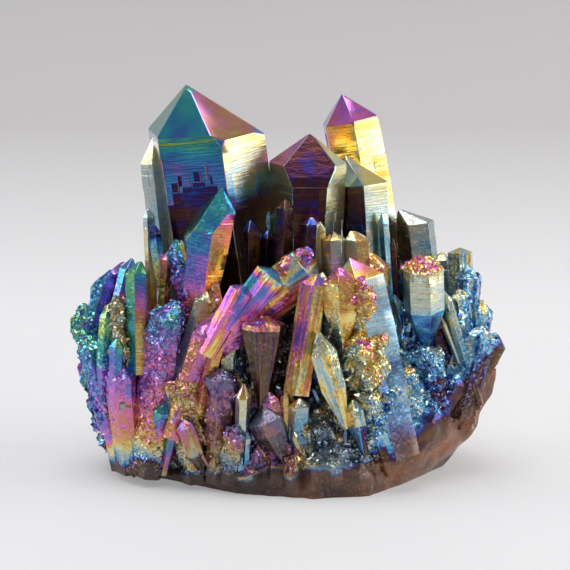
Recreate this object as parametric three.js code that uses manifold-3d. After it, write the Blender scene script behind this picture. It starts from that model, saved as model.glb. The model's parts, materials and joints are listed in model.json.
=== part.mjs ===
// Rainbow aura quartz cluster: quartz crystals grown together on one lump of smoky quartz.
// The whole cluster is one piece, so every crystal is joined with the lump into one closed solid.
// Units are millimetres, +Z is up and the front of the cluster faces -Y. The cluster rests on its
// flat foot at z = 0, and the origin is the middle of its outline seen from above.
import * as THREE from "three";
import { mergeVertices } from "three/addons/utils/BufferGeometryUtils.js";
import Module from "manifold-3d";

const wasm = await Module();
wasm.setup();

// ---- Driving dimensions: the lump ----

// Four rings of corners, from the flat foot up to the bed that the crystals stand on. Each ring
// starts at the middle of the front and runs to the right and round the back.
const FOOT_RING = [
  [4, -18.8], [14, -17], [19.6, -10.5], [27.5, 1], [25, 10], [15, 17], [2, 20],
  [-12, 18.5], [-24, 14], [-32.3, 6], [-30.2, 0], [-27.9, -3.2], [-20, -7.8], [-9, -15.5],
];
const WAIST_RING = [
  [4, -18.5, 6], [15, -16.5, 6], [25, -10.5, 8], [33.5, -1, 8], [31, 10, 8], [19, 18.5, 7], [3, 21.5, 7],
  [-13, 20.5, 7], [-26, 15, 7], [-33, 6, 7], [-32.5, 0, 8], [-29.5, -5, 8], [-21, -9.5, 7], [-10, -15.5, 6],
];
const RIM_RING = [
  [4, -14, 15], [17, -12.5, 15], [29, -8.5, 17], [37, -1, 18.5], [33.5, 10, 17], [20, 17.5, 16],
  [3, 20.5, 16], [-14, 19, 16], [-28, 13, 17], [-35.5, 4, 18], [-35, -2, 17], [-30, -6, 17],
  [-21, -9, 16], [-10, -12, 15],
];
const BED_RING = [
  [4, -9, 25], [14, -8.5, 25], [22, -6, 25], [30, 0, 24], [24, 8, 25], [15, 13, 26], [2, 15, 26],
  [-11, 14, 26], [-21, 10, 25], [-28, 3, 25], [-26, -2, 25], [-22, -4.5, 25], [-16, -7, 26], [-8, -8.5, 26],
];
const BED_MIDDLE = [0, 3, 28];

// ---- Driving dimensions: the crystals of the front, the giants and the valley between them ----

// Each row is a name, the tip, the root and the width of the prism.
// roll turns the prism about its own axis in degrees, and at 0 one face looks to the front.
// point is the height of the pyramid, and points gives a height to each of its six faces.
// shift moves the tip to the right and to the front, as shares of the half width.
// taper is the width at the root over the width below the pyramid.
// thick is the front-to-back width over the side-to-side one.
// heel is the length of a pointed foot, and sunk is how far the prism runs on past its root.
const CRYSTALS = [
  ["giant_left", [-18, 9, 68], [-9.5, 8, 23], 22.2, {
    roll: -19, point: 8, points: [8.5, 10, 10, 8.5, 8, 7.5], shift: [-0.2, 0], taper: 1, thick: 0.92,
  }],
  ["giant_left_flank", [-23.5, 10, 59], [-20.5, 9, 25], 5.4, {
    roll: 20, point: 5.5, shift: [0.1, 0], taper: 1,
  }],
  ["giant_right", [9.5, 15, 65], [17.5, 13, 26], 10.8, { roll: 35, point: 5, shift: [-0.1, 0.1], taper: 1 }],
  ["giant_middle", [4, 4, 60], [3.5, 3, 28], 14, {
    roll: 0, point: 5.5, points: [9, 5.5, 5.5, 5.5, 5.5, 5.5], shift: [0.05, 0.1], taper: 0.8, thick: 1.1,
  }],
  ["right_shoulder", [10, 8, 55], [14.5, 6, 27.5], 9.2, { roll: 34, point: 5, shift: [-0.5, 0], taper: 0.9 }],
  ["right_short", [19.5, 9, 45], [24.5, 7, 27], 6.8, { roll: 10, point: 3, shift: [-0.8, 0], taper: 1 }],
  ["right_filler", [27.5, 9, 37.5], [28, 7, 22.5], 4.6, { roll: 12, point: 1.5, shift: [0.3, 0], taper: 1 }],
  ["right_column", [30.5, 6, 39], [31, 3, 22], 4.8, { roll: 20, point: 1, taper: 1 }],
  ["valley_a", [-6.5, 1, 45], [-6.5, 1, 28.5], 3.8, { roll: 20, point: 2 }],
  ["valley_b", [-3.5, 2, 43], [-4, 2, 28.5], 2.4, { roll: 30, point: 1.5 }],
  ["valley_c", [-1.5, 0, 43], [-2, 0, 29], 2.2, { roll: 10, point: 1.5 }],
  ["valley_d", [-0.5, -3, 49.5], [-1, -2, 29.5], 2.8, { roll: 25, point: 1.5 }],
  ["valley_f", [-9, 0, 42], [-9, 0, 27], 3.2, { roll: 0, point: 2.5 }],
  ["left_needle_a", [-24.5, 3, 47], [-24, 2, 30], 2.2, { roll: 15, point: 2 }],
  ["left_needle_b", [-23.5, -1, 45], [-21.5, -2, 31], 2.4, { roll: 35, point: 2 }],
  ["teal_leaner", [-11.5, -4.5, 52], [-15.5, -5, 30], 9.4, {
    roll: 38, point: 5, points: [4, 4, 4.5, 6, 10, 8], shift: [0.25, 0], taper: 0.66,
  }],
  ["crusted_stem", [-19.5, -4, 43], [-16.5, -6, 28.5], 4.2, { roll: 20, point: 2.5 }],
  ["rose_tooth", [-21, -2, 40], [-22, -3, 29.5], 2.4, { roll: 40, point: 1.5 }],
  ["green_prism", [-25.5, -6, 39.5], [-26, -8, 24.5], 4, {
    roll: 22, point: 2.5, shift: [0.3, 0], taper: 0.9,
  }],
  ["left_filler_a", [-29, 2, 37.5], [-30, 1, 26], 4.2, { roll: 18, point: 2 }],
  ["left_filler_b", [-33, 3, 34.5], [-32.5, 1, 26], 5, { roll: 8, point: 2 }],
  ["left_blade_a", [-27, -2, 39], [-30.5, -4, 26.5], 3.4, { roll: 10, point: 2.5 }],
  ["left_blade_b", [-31, 0, 36.5], [-34.5, -1, 26.5], 3.8, { roll: 25, point: 3, sunk: 1 }],
  ["left_crust", [-36, 0, 30], [-33, -2, 13], 5.2, { roll: 10, point: 2.5 }],
  ["left_crust_low", [-35, -4, 25.5], [-32, -5, 13], 4.8, { roll: 25, point: 2.5 }],
  ["gold_crust", [-30, -6, 32.5], [-28.5, -8, 19], 5.2, { roll: 10, point: 1.5 }],
  ["left_green_blade", [-31, -7, 32], [-32.5, -8, 15.5], 3, { roll: 20, point: 2.5, heel: 5 }],
  ["left_blue_chip", [-29.5, -10, 26.5], [-30, -10, 13.5], 2.6, { roll: 20, point: 1.5, heel: 4 }],
  ["left_column_a", [-33, -3, 22], [-29.5, -4, 2], 4.6, { roll: 15, point: 3, sunk: 1 }],
  ["left_column_b", [-29, -9, 22.5], [-27.5, -7, 2.5], 6.6, { roll: 5, point: 3, sunk: 1 }],
  ["magenta_crust", [-19, -9, 33], [-24.5, -9, 2.5], 7.2, {
    roll: 15, point: 3, shift: [0.3, 0], taper: 1, sunk: 1,
  }],
  ["teal_stub", [-21.5, -13, 15.5], [-22.5, -10, 3.5], 3, { roll: 20, point: 1.5, sunk: 1 }],
  ["olive_leaner", [-14, -8, 34.5], [-19.5, -11, 18], 3.2, { roll: 20, point: 2 }],
  ["gold_knob", [-18, -13, 21], [-16.5, -12, 6], 5.8, { roll: 10, point: 2 }],
  ["purple_wedge", [-18, -15, 13.5], [-14.5, -13, 2.5], 3.4, { roll: 25, point: 1.5, heel: 4.5 }],
  ["crusted_stub", [-11.5, -14, 22], [-12, -13, 2.5], 5.2, { roll: 20, point: 1.5, sunk: 1 }],
  ["rose_leaner_a", [-13.5, -12, 30], [-18.5, -13, 14], 4.2, { roll: 20, point: 2.5 }],
  ["rose_leaner_b", [-11, -12, 30.5], [-14.5, -13, 18], 3.2, { roll: 25, point: 2.5 }],
  ["dark_crust", [-14, -7, 35.5], [-12.5, -9, 25], 3.4, { roll: 10, point: 1.5 }],
  ["log", [5.5, -7, 39.5], [-13, -10, 26], 8, { roll: 25, point: 3, taper: 0.9, sunk: 1 }],
  ["log_block", [-2, -11, 39], [-9.5, -12, 29.5], 5.8, { roll: 20, point: 1.5, sunk: 1 }],
  ["log_end", [-7, -12, 36.5], [-13.5, -13, 25], 5, { roll: 15, point: 1.5, sunk: 1 }],
  ["log_under", [4, -5, 35.5], [-11, -8, 23.5], 5.2, { roll: 0, point: 1.5, sunk: 1 }],
  ["log_crust", [4.5, -8, 41], [-5.5, -10, 36], 3.8, { roll: 0, point: 1.5, sunk: 1 }],
  ["pale_slab", [-10, -9, 29.5], [-11, -10, 17.5], 6.2, { roll: 5, point: 1.5, heel: 3.5 }],
  ["brown_wedge", [-4, -14, 31.5], [-4.5, -15, 14.5], 7.2, { roll: 18, point: 1.5, heel: 14.5 }],
  ["striped_prism", [5, -12, 38.5], [1.5, -14, 17.5], 5, { roll: 25, point: 2, taper: 0.95, sunk: 0 }],
  ["grey_nub", [6, -9, 38], [5, -11, 28], 2.6, { roll: 10, point: 1.5 }],
  ["violet_stub", [4, -5, 47], [3.5, -6, 34], 3.4, { roll: 5, point: 1.5 }],
  ["grey_facet", [5.5, -5, 46], [6, -5, 33.5], 2, { roll: 30, point: 1.5 }],
  ["nub_a", [8, -6, 44.5], [8.5, -7, 32.5], 4.2, { roll: 10, point: 1.5 }],
  ["nub_b", [11, -5, 44.5], [13, -6, 30.5], 4.8, { roll: 20, point: 2, shift: [-0.4, 0] }],
  ["gold_cap", [14, -6, 41], [15.5, -7, 24.5], 5.8, { roll: 15, point: 3, shift: [-0.4, 0], heel: 7 }],
  ["gold_giant", [10.5, -9, 40.5], [17.5, -12, 10.5], 10, {
    roll: 32, point: 4, shift: [0, 0.2], taper: 0.85,
  }],
  ["gold_face", [9, -13, 40], [9.5, -14, 25], 6.2, { roll: 20, point: 3, heel: 7 }],
  ["red_crust", [12.5, -15, 38.5], [12.5, -14, 28], 4, { roll: 15, point: 2, heel: 3.5 }],
  ["pale_crust", [13, -14, 28.5], [14, -14, 19], 7.8, { roll: 15, point: 1.5, sunk: 0 }],
  ["pale_spear", [5, -16, 29.5], [10, -17, 12], 4.8, { roll: 28, point: 4.5, heel: 7.5 }],
  ["white_point", [-7.5, -17, 20.5], [-8, -15, 5], 3, { roll: 2, point: 3, sunk: 1 }],
  ["violet_column", [-9, -18, 13], [-10, -15, 3], 4, { roll: 15, point: 1.5, sunk: 1 }],
  ["teal_rib", [-7, -17, 11.5], [-7.5, -15, 3.5], 2, { roll: 20, point: 1, sunk: 1 }],
  ["grey_cone", [-4.5, -16, 16], [0.5, -15, 3.5], 6.8, { roll: 15, point: 2.5, heel: 8.5 }],
  ["rose_chip", [-3.5, -15, 18.5], [-1, -15, 8.5], 3.4, { roll: 30, point: 2 }],
  ["pale_rib_a", [2, -16, 17.5], [1.5, -15, 3.5], 4, { roll: 20, point: 1.5, sunk: 1 }],
  ["spark_column", [6, -15, 13.5], [6.5, -14, 3], 5, { roll: 10, point: 1.5, sunk: 1 }],
  ["spark_foot", [9, -17, 9.5], [9.5, -15, 2.5], 3.8, { roll: 20, point: 1, sunk: 1 }],
  ["blue_wedge_a", [11, -17, 17.5], [13.5, -16, 6], 4, { roll: 15, point: 2, heel: 7 }],
  ["blue_wedge_b", [15, -16, 12.5], [17.5, -14, 2.5], 3.4, { roll: 25, point: 1.5, heel: 6 }],
  ["snow_crust", [15, -15, 19.5], [16, -13, 6.5], 7.2, { roll: 10, point: 1.5, sunk: 1 }],
  ["violet_foot", [14, -16, 7], [14.5, -14, 1], 4, { roll: 0, point: 1, sunk: 1 }],
  ["right_stump_a", [20.5, -10, 21.5], [23, -10, 7], 5, { roll: 15, point: 1.5, heel: 3.5 }],
  ["right_stump_b", [23.5, -8, 24.5], [27, -9, 11.5], 5.8, { roll: 20, point: 1.5, heel: 7.5 }],
  ["hero_small", [23, -9, 41], [24, -7, 23.5], 6.8, { roll: 47, point: 2.5, heel: 7.5, taper: 1 }],
  ["blue_post", [21.5, -4, 27.5], [21.5, -6, 15], 2.6, { roll: 20, point: 1.5 }],
  ["navy_post", [26, -3, 28], [27.5, -5, 15], 4.6, { roll: 20, point: 1.5 }],
  ["white_blade", [27, -6, 34], [32, -6, 18], 2.2, { roll: 20, point: 2 }],
  ["right_crust_a", [31.5, 0, 37.5], [31, -2, 13], 4.8, { roll: 15, point: 2.5 }],
  ["right_crust_b", [34, -1, 31.5], [32, -2, 14], 4.8, { roll: 20, point: 2.5 }],
  ["right_crust_c", [37, 0, 25], [32, -1, 14.5], 5, { roll: 20, point: 2 }],
  ["right_crust_d", [30, -3, 33.5], [32, -4, 17], 4.2, { roll: 15, point: 1.5 }],
  ["right_crust_e", [34, -4, 27.5], [31, -5, 15.5], 5.2, { roll: 30, point: 2 }],
];
const POINT_OVER_WIDTH = 0.5;
const TAPER = 0.85;
const SUNK = 5;
const HEEL_TIP = 0.15;

// How far a prism face may stand off its even place, and how much a pyramid face is cut back,
// as shares of the half width.
const FACE_VARIATION = 0.1;
const POINT_VARIATION = 0.05;

// ---- Driving dimensions: the crystals round the back and the sides ----

// They stand in tiers on an oval. A tier has the number of its crystals, the size of its oval as a
// share of the full one, the height of the roots, the heights and widths of the crystals, how far
// they lean out in degrees, and how far they run on past their roots.
const TIERS = [
  { count: 12, oval: 0.86, root: 3, height: [11, 17], width: [5, 8], lean: 7, sunk: 1 },
  { count: 10, oval: 0.8, root: 13, height: [12, 18], width: [4.5, 7], lean: 30, sunk: SUNK },
  { count: 6, oval: 0.5, root: 20, height: [14, 22], width: [5.5, 8], lean: 20, sunk: SUNK },
];
const TIER_HALF_LENGTH = 36;
const TIER_HALF_DEPTH = 21;
const TIER_FIRST_ANGLE = 22;
const TIER_LAST_ANGLE = 154;
const TIER_STEP_VARIATION = 0.25;
const TIER_LEAN_VARIATION = 7;
const TIER_TIP_VARIATION = 1.5;
const TIER_SHIFT_VARIATION = 0.4;

const AURA_BLUE = 0x5f6c96;
const AURA_ROUGHNESS = 0.25;
const AURA_METALNESS = 0.9;

const SEED = 20240;
const BLOCK_HALF = 100;
const PRISM_FACES = 6;
const UP = new THREE.Vector3(0, 0, 1);
const TO_FRONT = new THREE.Vector3(0, -1, 0);

// ---- Even random numbers, the same on each run ----

const RANDOM_FACTOR = 16807;
const RANDOM_MODULUS = 2147483647;
let randomState = SEED;

function random(low, high) {
  randomState = (randomState * RANDOM_FACTOR) % RANDOM_MODULUS;
  return low + ((high - low) * randomState) / RANDOM_MODULUS;
}

function randomRound(middle, variation) {
  return random(middle - variation, middle + variation);
}

// ---- Closed solids ----

// The solid of flat faces, each a round of corner numbers that runs anticlockwise seen from outside.
function solidFromFaces(corners, faces) {
  const triangles = [];
  for (const face of faces) {
    for (let i = 1; i + 1 < face.length; i++) triangles.push(face[0], face[i], face[i + 1]);
  }
  return new wasm.Manifold(
    new wasm.Mesh({
      numProp: 3,
      vertProperties: new Float32Array(corners.flatMap((corner) => corner.toArray())),
      triVerts: new Uint32Array(triangles),
    }),
  );
}

function solidFromGeometry(geometry) {
  geometry.deleteAttribute("normal");
  geometry.deleteAttribute("uv");
  const merged = mergeVertices(geometry);
  return new wasm.Manifold(
    new wasm.Mesh({
      numProp: 3,
      vertProperties: merged.attributes.position.array,
      triVerts: new Uint32Array(merged.index.array),
    }),
  );
}

// A large block round a point, as corners and faces, for planes to cut down.
function blockRound(middle) {
  const corners = [];
  for (const x of [-BLOCK_HALF, BLOCK_HALF]) {
    for (const y of [-BLOCK_HALF, BLOCK_HALF]) {
      for (const z of [-BLOCK_HALF, BLOCK_HALF]) corners.push(new THREE.Vector3(x, y, z).add(middle));
    }
  }
  const faces = [
    [0, 1, 3, 2], [4, 6, 7, 5], [0, 4, 5, 1], [2, 3, 7, 6], [0, 2, 6, 4], [1, 5, 7, 3],
  ];
  return { corners, faces };
}

// What is left of a convex body behind a plane, closed by a new face on the plane.
function cutBody(body, plane) {
  const corners = [...body.corners];
  const heights = corners.map((corner) => plane.distanceToPoint(corner));
  const newCorners = new Map();
  const cornerOnEdge = (a, b) => {
    const edge = `${Math.min(a, b)}-${Math.max(a, b)}`;
    if (!newCorners.has(edge)) {
      const share = heights[a] / (heights[a] - heights[b]);
      newCorners.set(edge, corners.push(corners[a].clone().lerp(corners[b], share)) - 1);
    }
    return newCorners.get(edge);
  };

  const faces = [];
  const capNext = new Map();
  for (const face of body.faces) {
    const kept = [];
    let leaving = -1;
    let entering = -1;
    face.forEach((a, i) => {
      const b = face[(i + 1) % face.length];
      const behind = heights[a] <= 0;
      if (behind) kept.push(a);
      if (behind === heights[b] <= 0) return;
      const corner = cornerOnEdge(a, b);
      kept.push(corner);
      if (behind) leaving = corner;
      else entering = corner;
    });
    if (kept.length > 2) faces.push(kept);
    if (leaving >= 0) capNext.set(entering, leaving);
  }
  if (capNext.size > 0) {
    const cap = [capNext.keys().next().value];
    while (capNext.get(cap.at(-1)) !== cap[0]) cap.push(capNext.get(cap.at(-1)));
    faces.push(cap);
  }
  return { corners, faces };
}

// The solid that lies behind every plane.
function solidBehind(planes, middle) {
  const body = planes.reduce(cutBody, blockRound(middle));
  const used = [...new Set(body.faces.flat())];
  const place = new Map(used.map((corner, i) => [corner, i]));
  return solidFromFaces(
    used.map((corner) => body.corners[corner]),
    body.faces.map((face) => face.map((corner) => place.get(corner))),
  );
}

// ---- One crystal ----

// A plane through a point, whose normal is so many shares of one direction and so many of another.
function planeThrough(point, side, sideShare, axis, axisShare) {
  const normal = side.clone().multiplyScalar(sideShare).addScaledVector(axis, axisShare).normalize();
  return new THREE.Plane().setFromNormalAndCoplanarPoint(normal, point);
}

// A quartz prism of six faces, closed at the tip by a pyramid of six faces.
function crystal(tip, root, width, options) {
  const tipPoint = new THREE.Vector3(...tip);
  const rootPoint = new THREE.Vector3(...root);
  const point = options.point ?? width * POINT_OVER_WIDTH;
  const points = options.points ?? Array(PRISM_FACES).fill(point);
  const taper = options.taper ?? TAPER;
  const thick = options.thick ?? 1;
  const heel = options.heel ?? 0;
  const sunk = options.sunk ?? (heel > 0 ? 0 : SUNK);
  const roll = THREE.MathUtils.degToRad(options.roll ?? 0);
  const [shiftRight, shiftFront] = options.shift ?? [0, 0];
  const half = width / 2;

  // The axis starts at the root, and it misses the tip by the shift.
  const lean = tipPoint.clone().sub(rootPoint).normalize();
  const front = TO_FRONT.clone().addScaledVector(lean, -TO_FRONT.dot(lean)).normalize();
  const right = new THREE.Vector3().crossVectors(lean, front);
  const axis = tipPoint.clone().sub(rootPoint);
  axis.addScaledVector(right, -shiftRight * half).addScaledVector(front, -shiftFront * half);
  const length = axis.length();
  axis.divideScalar(length);

  // The even distance from the axis to a prism face makes the crystal as wide as asked.
  const turn = (2 * Math.PI) / PRISM_FACES;
  const angles = Array.from({ length: PRISM_FACES }, (_, k) => roll + k * turn);
  const widest = Math.max(...angles.map((angle) => Math.sin(angle + turn / 2)));
  const apothem = (half * Math.cos(turn / 2)) / widest;

  const base = rootPoint.clone().addScaledVector(axis, -sunk);
  const planes = [new THREE.Plane().setFromNormalAndCoplanarPoint(axis.clone().negate(), base)];
  angles.forEach((angle, k) => {
    const side = front.clone().multiplyScalar(Math.cos(angle)).addScaledVector(right, Math.sin(angle));
    side.addScaledVector(axis, -side.dot(axis)).normalize();
    const stretch = 1 + (thick - 1) * Math.cos(angle) ** 2;
    const reach = apothem * stretch * randomRound(1, FACE_VARIATION);
    const shoulder = rootPoint.clone().addScaledVector(axis, length - point).addScaledVector(side, reach);
    const narrowing = (reach * (1 - taper)) / (length - point);
    planes.push(planeThrough(shoulder, side, 1, axis, -narrowing));

    const tipReach = tipPoint.clone().sub(rootPoint).dot(side);
    const pyramidFoot = shoulder.clone().addScaledVector(axis, point - points[k]);
    const pyramid = planeThrough(pyramidFoot, side, points[k], axis, reach - tipReach);
    pyramid.constant += random(0, POINT_VARIATION) * half;
    planes.push(pyramid);

    if (heel > 0) {
      const heelReach = reach - narrowing * (length - point - heel);
      const heelTop = rootPoint.clone().addScaledVector(axis, heel).addScaledVector(side, heelReach);
      planes.push(planeThrough(heelTop, side, heel, axis, reach * HEEL_TIP - heelReach));
    }
  });
  return solidBehind(planes, rootPoint);
}

// ---- The lump ----

function lump() {
  const corners = FOOT_RING.map(([x, y]) => new THREE.Vector3(x, y, 0));
  for (const ring of [WAIST_RING, RIM_RING, BED_RING]) {
    corners.push(...ring.map((place) => new THREE.Vector3(...place)));
  }
  const bedMiddle = corners.push(new THREE.Vector3(...BED_MIDDLE)) - 1;

  const count = FOOT_RING.length;
  const bed = 3 * count;
  const faces = [Array.from({ length: count }, (_, i) => count - 1 - i)];
  for (let i = 0; i < count; i++) {
    const next = (i + 1) % count;
    for (let ring = 0; ring < bed; ring += count) {
      faces.push([ring + i, ring + next, ring + count + next]);
      faces.push([ring + i, ring + count + next, ring + count + i]);
    }
    faces.push([bed + i, bed + next, bedMiddle]);
  }
  return solidFromFaces(corners, faces);
}

// ---- The tiers ----

function tierCrystal(tier, place) {
  const step = (place + randomRound(0.5, TIER_STEP_VARIATION)) / tier.count;
  const degrees = THREE.MathUtils.lerp(TIER_FIRST_ANGLE, TIER_LAST_ANGLE, step);
  const outward = new THREE.Vector3(1, 0, 0).applyAxisAngle(UP, THREE.MathUtils.degToRad(degrees));
  const lean = THREE.MathUtils.degToRad(randomRound(tier.lean, TIER_LEAN_VARIATION));
  const height = random(...tier.height);
  const width = random(...tier.width);
  const setBack = SUNK * Math.sin(lean);
  const root = [
    (tier.oval * TIER_HALF_LENGTH - setBack) * outward.x,
    (tier.oval * TIER_HALF_DEPTH - setBack) * outward.y,
    tier.root,
  ];
  const overhang = height * Math.tan(lean);
  const tip = [
    root[0] + overhang * outward.x + randomRound(0, TIER_TIP_VARIATION),
    root[1] + overhang * outward.y + randomRound(0, TIER_TIP_VARIATION),
    tier.root + height,
  ];
  const shift = [randomRound(0, TIER_SHIFT_VARIATION), randomRound(0, TIER_SHIFT_VARIATION)];
  return crystal(tip, root, width, { roll: random(0, 360 / PRISM_FACES), shift, sunk: tier.sunk });
}

// ---- The cluster ----

function cluster() {
  let whole = lump();
  for (const [, tip, root, width, options] of CRYSTALS) {
    whole = whole.add(crystal(tip, root, width, options));
  }
  for (const tier of TIERS) {
    for (let place = 0; place < tier.count; place++) whole = whole.add(tierCrystal(tier, place));
  }
  const ground = new THREE.BoxGeometry(4 * BLOCK_HALF, 4 * BLOCK_HALF, 2 * BLOCK_HALF);
  return whole.subtract(solidFromGeometry(ground.translate(0, 0, -BLOCK_HALF)));
}

function geometryFromSolid(solid) {
  const { vertProperties, triVerts } = solid.getMesh();
  const geometry = new THREE.BufferGeometry();
  geometry.setAttribute("position", new THREE.BufferAttribute(vertProperties, 3));
  geometry.setIndex(new THREE.BufferAttribute(triVerts, 1));
  return geometry;
}

// Slides the shape over the ground until the middle of its outline is at the origin.
function centre(geometry) {
  geometry.computeBoundingBox();
  const middle = geometry.boundingBox.getCenter(new THREE.Vector3());
  return geometry.translate(-middle.x, -middle.y, 0);
}

const geometry = centre(geometryFromSolid(cluster()));
geometry.computeVertexNormals();
const auraQuartz = new THREE.MeshStandardMaterial({
  name: "aura_quartz",
  color: AURA_BLUE,
  roughness: AURA_ROUGHNESS,
  metalness: AURA_METALNESS,
});
const quartz = new THREE.Mesh(geometry, auraQuartz);
quartz.name = "quartz_cluster";

const part = new THREE.Group();
part.name = "rainbow_aura_quartz_cluster";
part.add(quartz);
export default part;
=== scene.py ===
"""Rainbow aura quartz cluster.

Quartz points grown together on one lump of smoky quartz, all under a thin metal-oxide film whose
thickness sets the colour. The lump stays bare round its foot. Sizes are in millimetres until a mesh
is finished, +Z is up and the front of the cluster faces -Y.
"""

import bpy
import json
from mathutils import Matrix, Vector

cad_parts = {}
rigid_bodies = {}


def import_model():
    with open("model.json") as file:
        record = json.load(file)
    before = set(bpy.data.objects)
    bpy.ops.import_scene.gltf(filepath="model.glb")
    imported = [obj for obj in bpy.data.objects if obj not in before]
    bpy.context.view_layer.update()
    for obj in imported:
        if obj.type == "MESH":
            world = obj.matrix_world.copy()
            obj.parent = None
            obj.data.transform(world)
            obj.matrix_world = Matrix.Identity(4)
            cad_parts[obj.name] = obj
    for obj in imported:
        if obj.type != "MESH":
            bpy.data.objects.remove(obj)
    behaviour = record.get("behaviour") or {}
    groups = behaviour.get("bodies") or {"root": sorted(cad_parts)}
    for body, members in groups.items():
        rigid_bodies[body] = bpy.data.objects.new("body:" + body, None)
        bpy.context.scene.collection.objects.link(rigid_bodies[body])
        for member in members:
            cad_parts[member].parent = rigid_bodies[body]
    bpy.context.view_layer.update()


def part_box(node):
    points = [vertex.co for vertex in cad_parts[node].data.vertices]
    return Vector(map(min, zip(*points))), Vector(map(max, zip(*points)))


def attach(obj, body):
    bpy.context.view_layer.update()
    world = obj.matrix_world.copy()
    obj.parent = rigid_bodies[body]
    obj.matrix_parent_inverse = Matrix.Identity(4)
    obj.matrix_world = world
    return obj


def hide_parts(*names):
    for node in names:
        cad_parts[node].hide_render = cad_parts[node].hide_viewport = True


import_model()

import json
import math
import random

import bmesh
import bpy
import numpy as np
from mathutils import Vector, noise

MM = 0.001
NODE = "quartz_cluster"

# ---- The lump: rings of corners from the foot up to the bed, each from the middle of the front round ----

FOOT_RING = [
    (4, -18.8), (14, -17), (19.6, -10.5), (27.5, 1), (25, 10), (15, 17), (2, 20),
    (-12, 18.5), (-24, 14), (-32.3, 6), (-30.2, 0), (-27.9, -3.2), (-20, -7.8), (-9, -15.5),
]
WAIST_RING = [
    (4, -18.5, 6), (15, -16.5, 6), (25, -10.5, 8), (33.5, -1, 8), (31, 10, 8), (19, 18.5, 7),
    (3, 21.5, 7), (-13, 20.5, 7), (-26, 15, 7), (-33, 6, 7), (-32.5, 0, 8), (-29.5, -5, 8),
    (-21, -9.5, 7), (-10, -15.5, 6),
]
RIM_RING = [
    (4, -14, 15), (17, -12.5, 15), (29, -8.5, 17), (37, -1, 18.5), (33.5, 10, 17), (20, 17.5, 16),
    (3, 20.5, 16), (-14, 19, 16), (-28, 13, 17), (-35.5, 4, 18), (-35, -2, 17), (-30, -6, 17),
    (-21, -9, 16), (-10, -12, 15),
]
BED_RING = [
    (4, -9, 25), (14, -8.5, 25), (22, -6, 25), (30, 0, 24), (24, 8, 25), (15, 13, 26),
    (2, 15, 26), (-11, 14, 26), (-21, 10, 25), (-28, 3, 25), (-26, -2, 25), (-22, -4.5, 25),
    (-16, -7, 26), (-8, -8.5, 26),
]
BED_MIDDLE = (0, 3, 28)
LUMP_CUTS = 15

# ---- The crystals: a name, the tip, the root, the width and what else shapes and colours it ----

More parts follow.
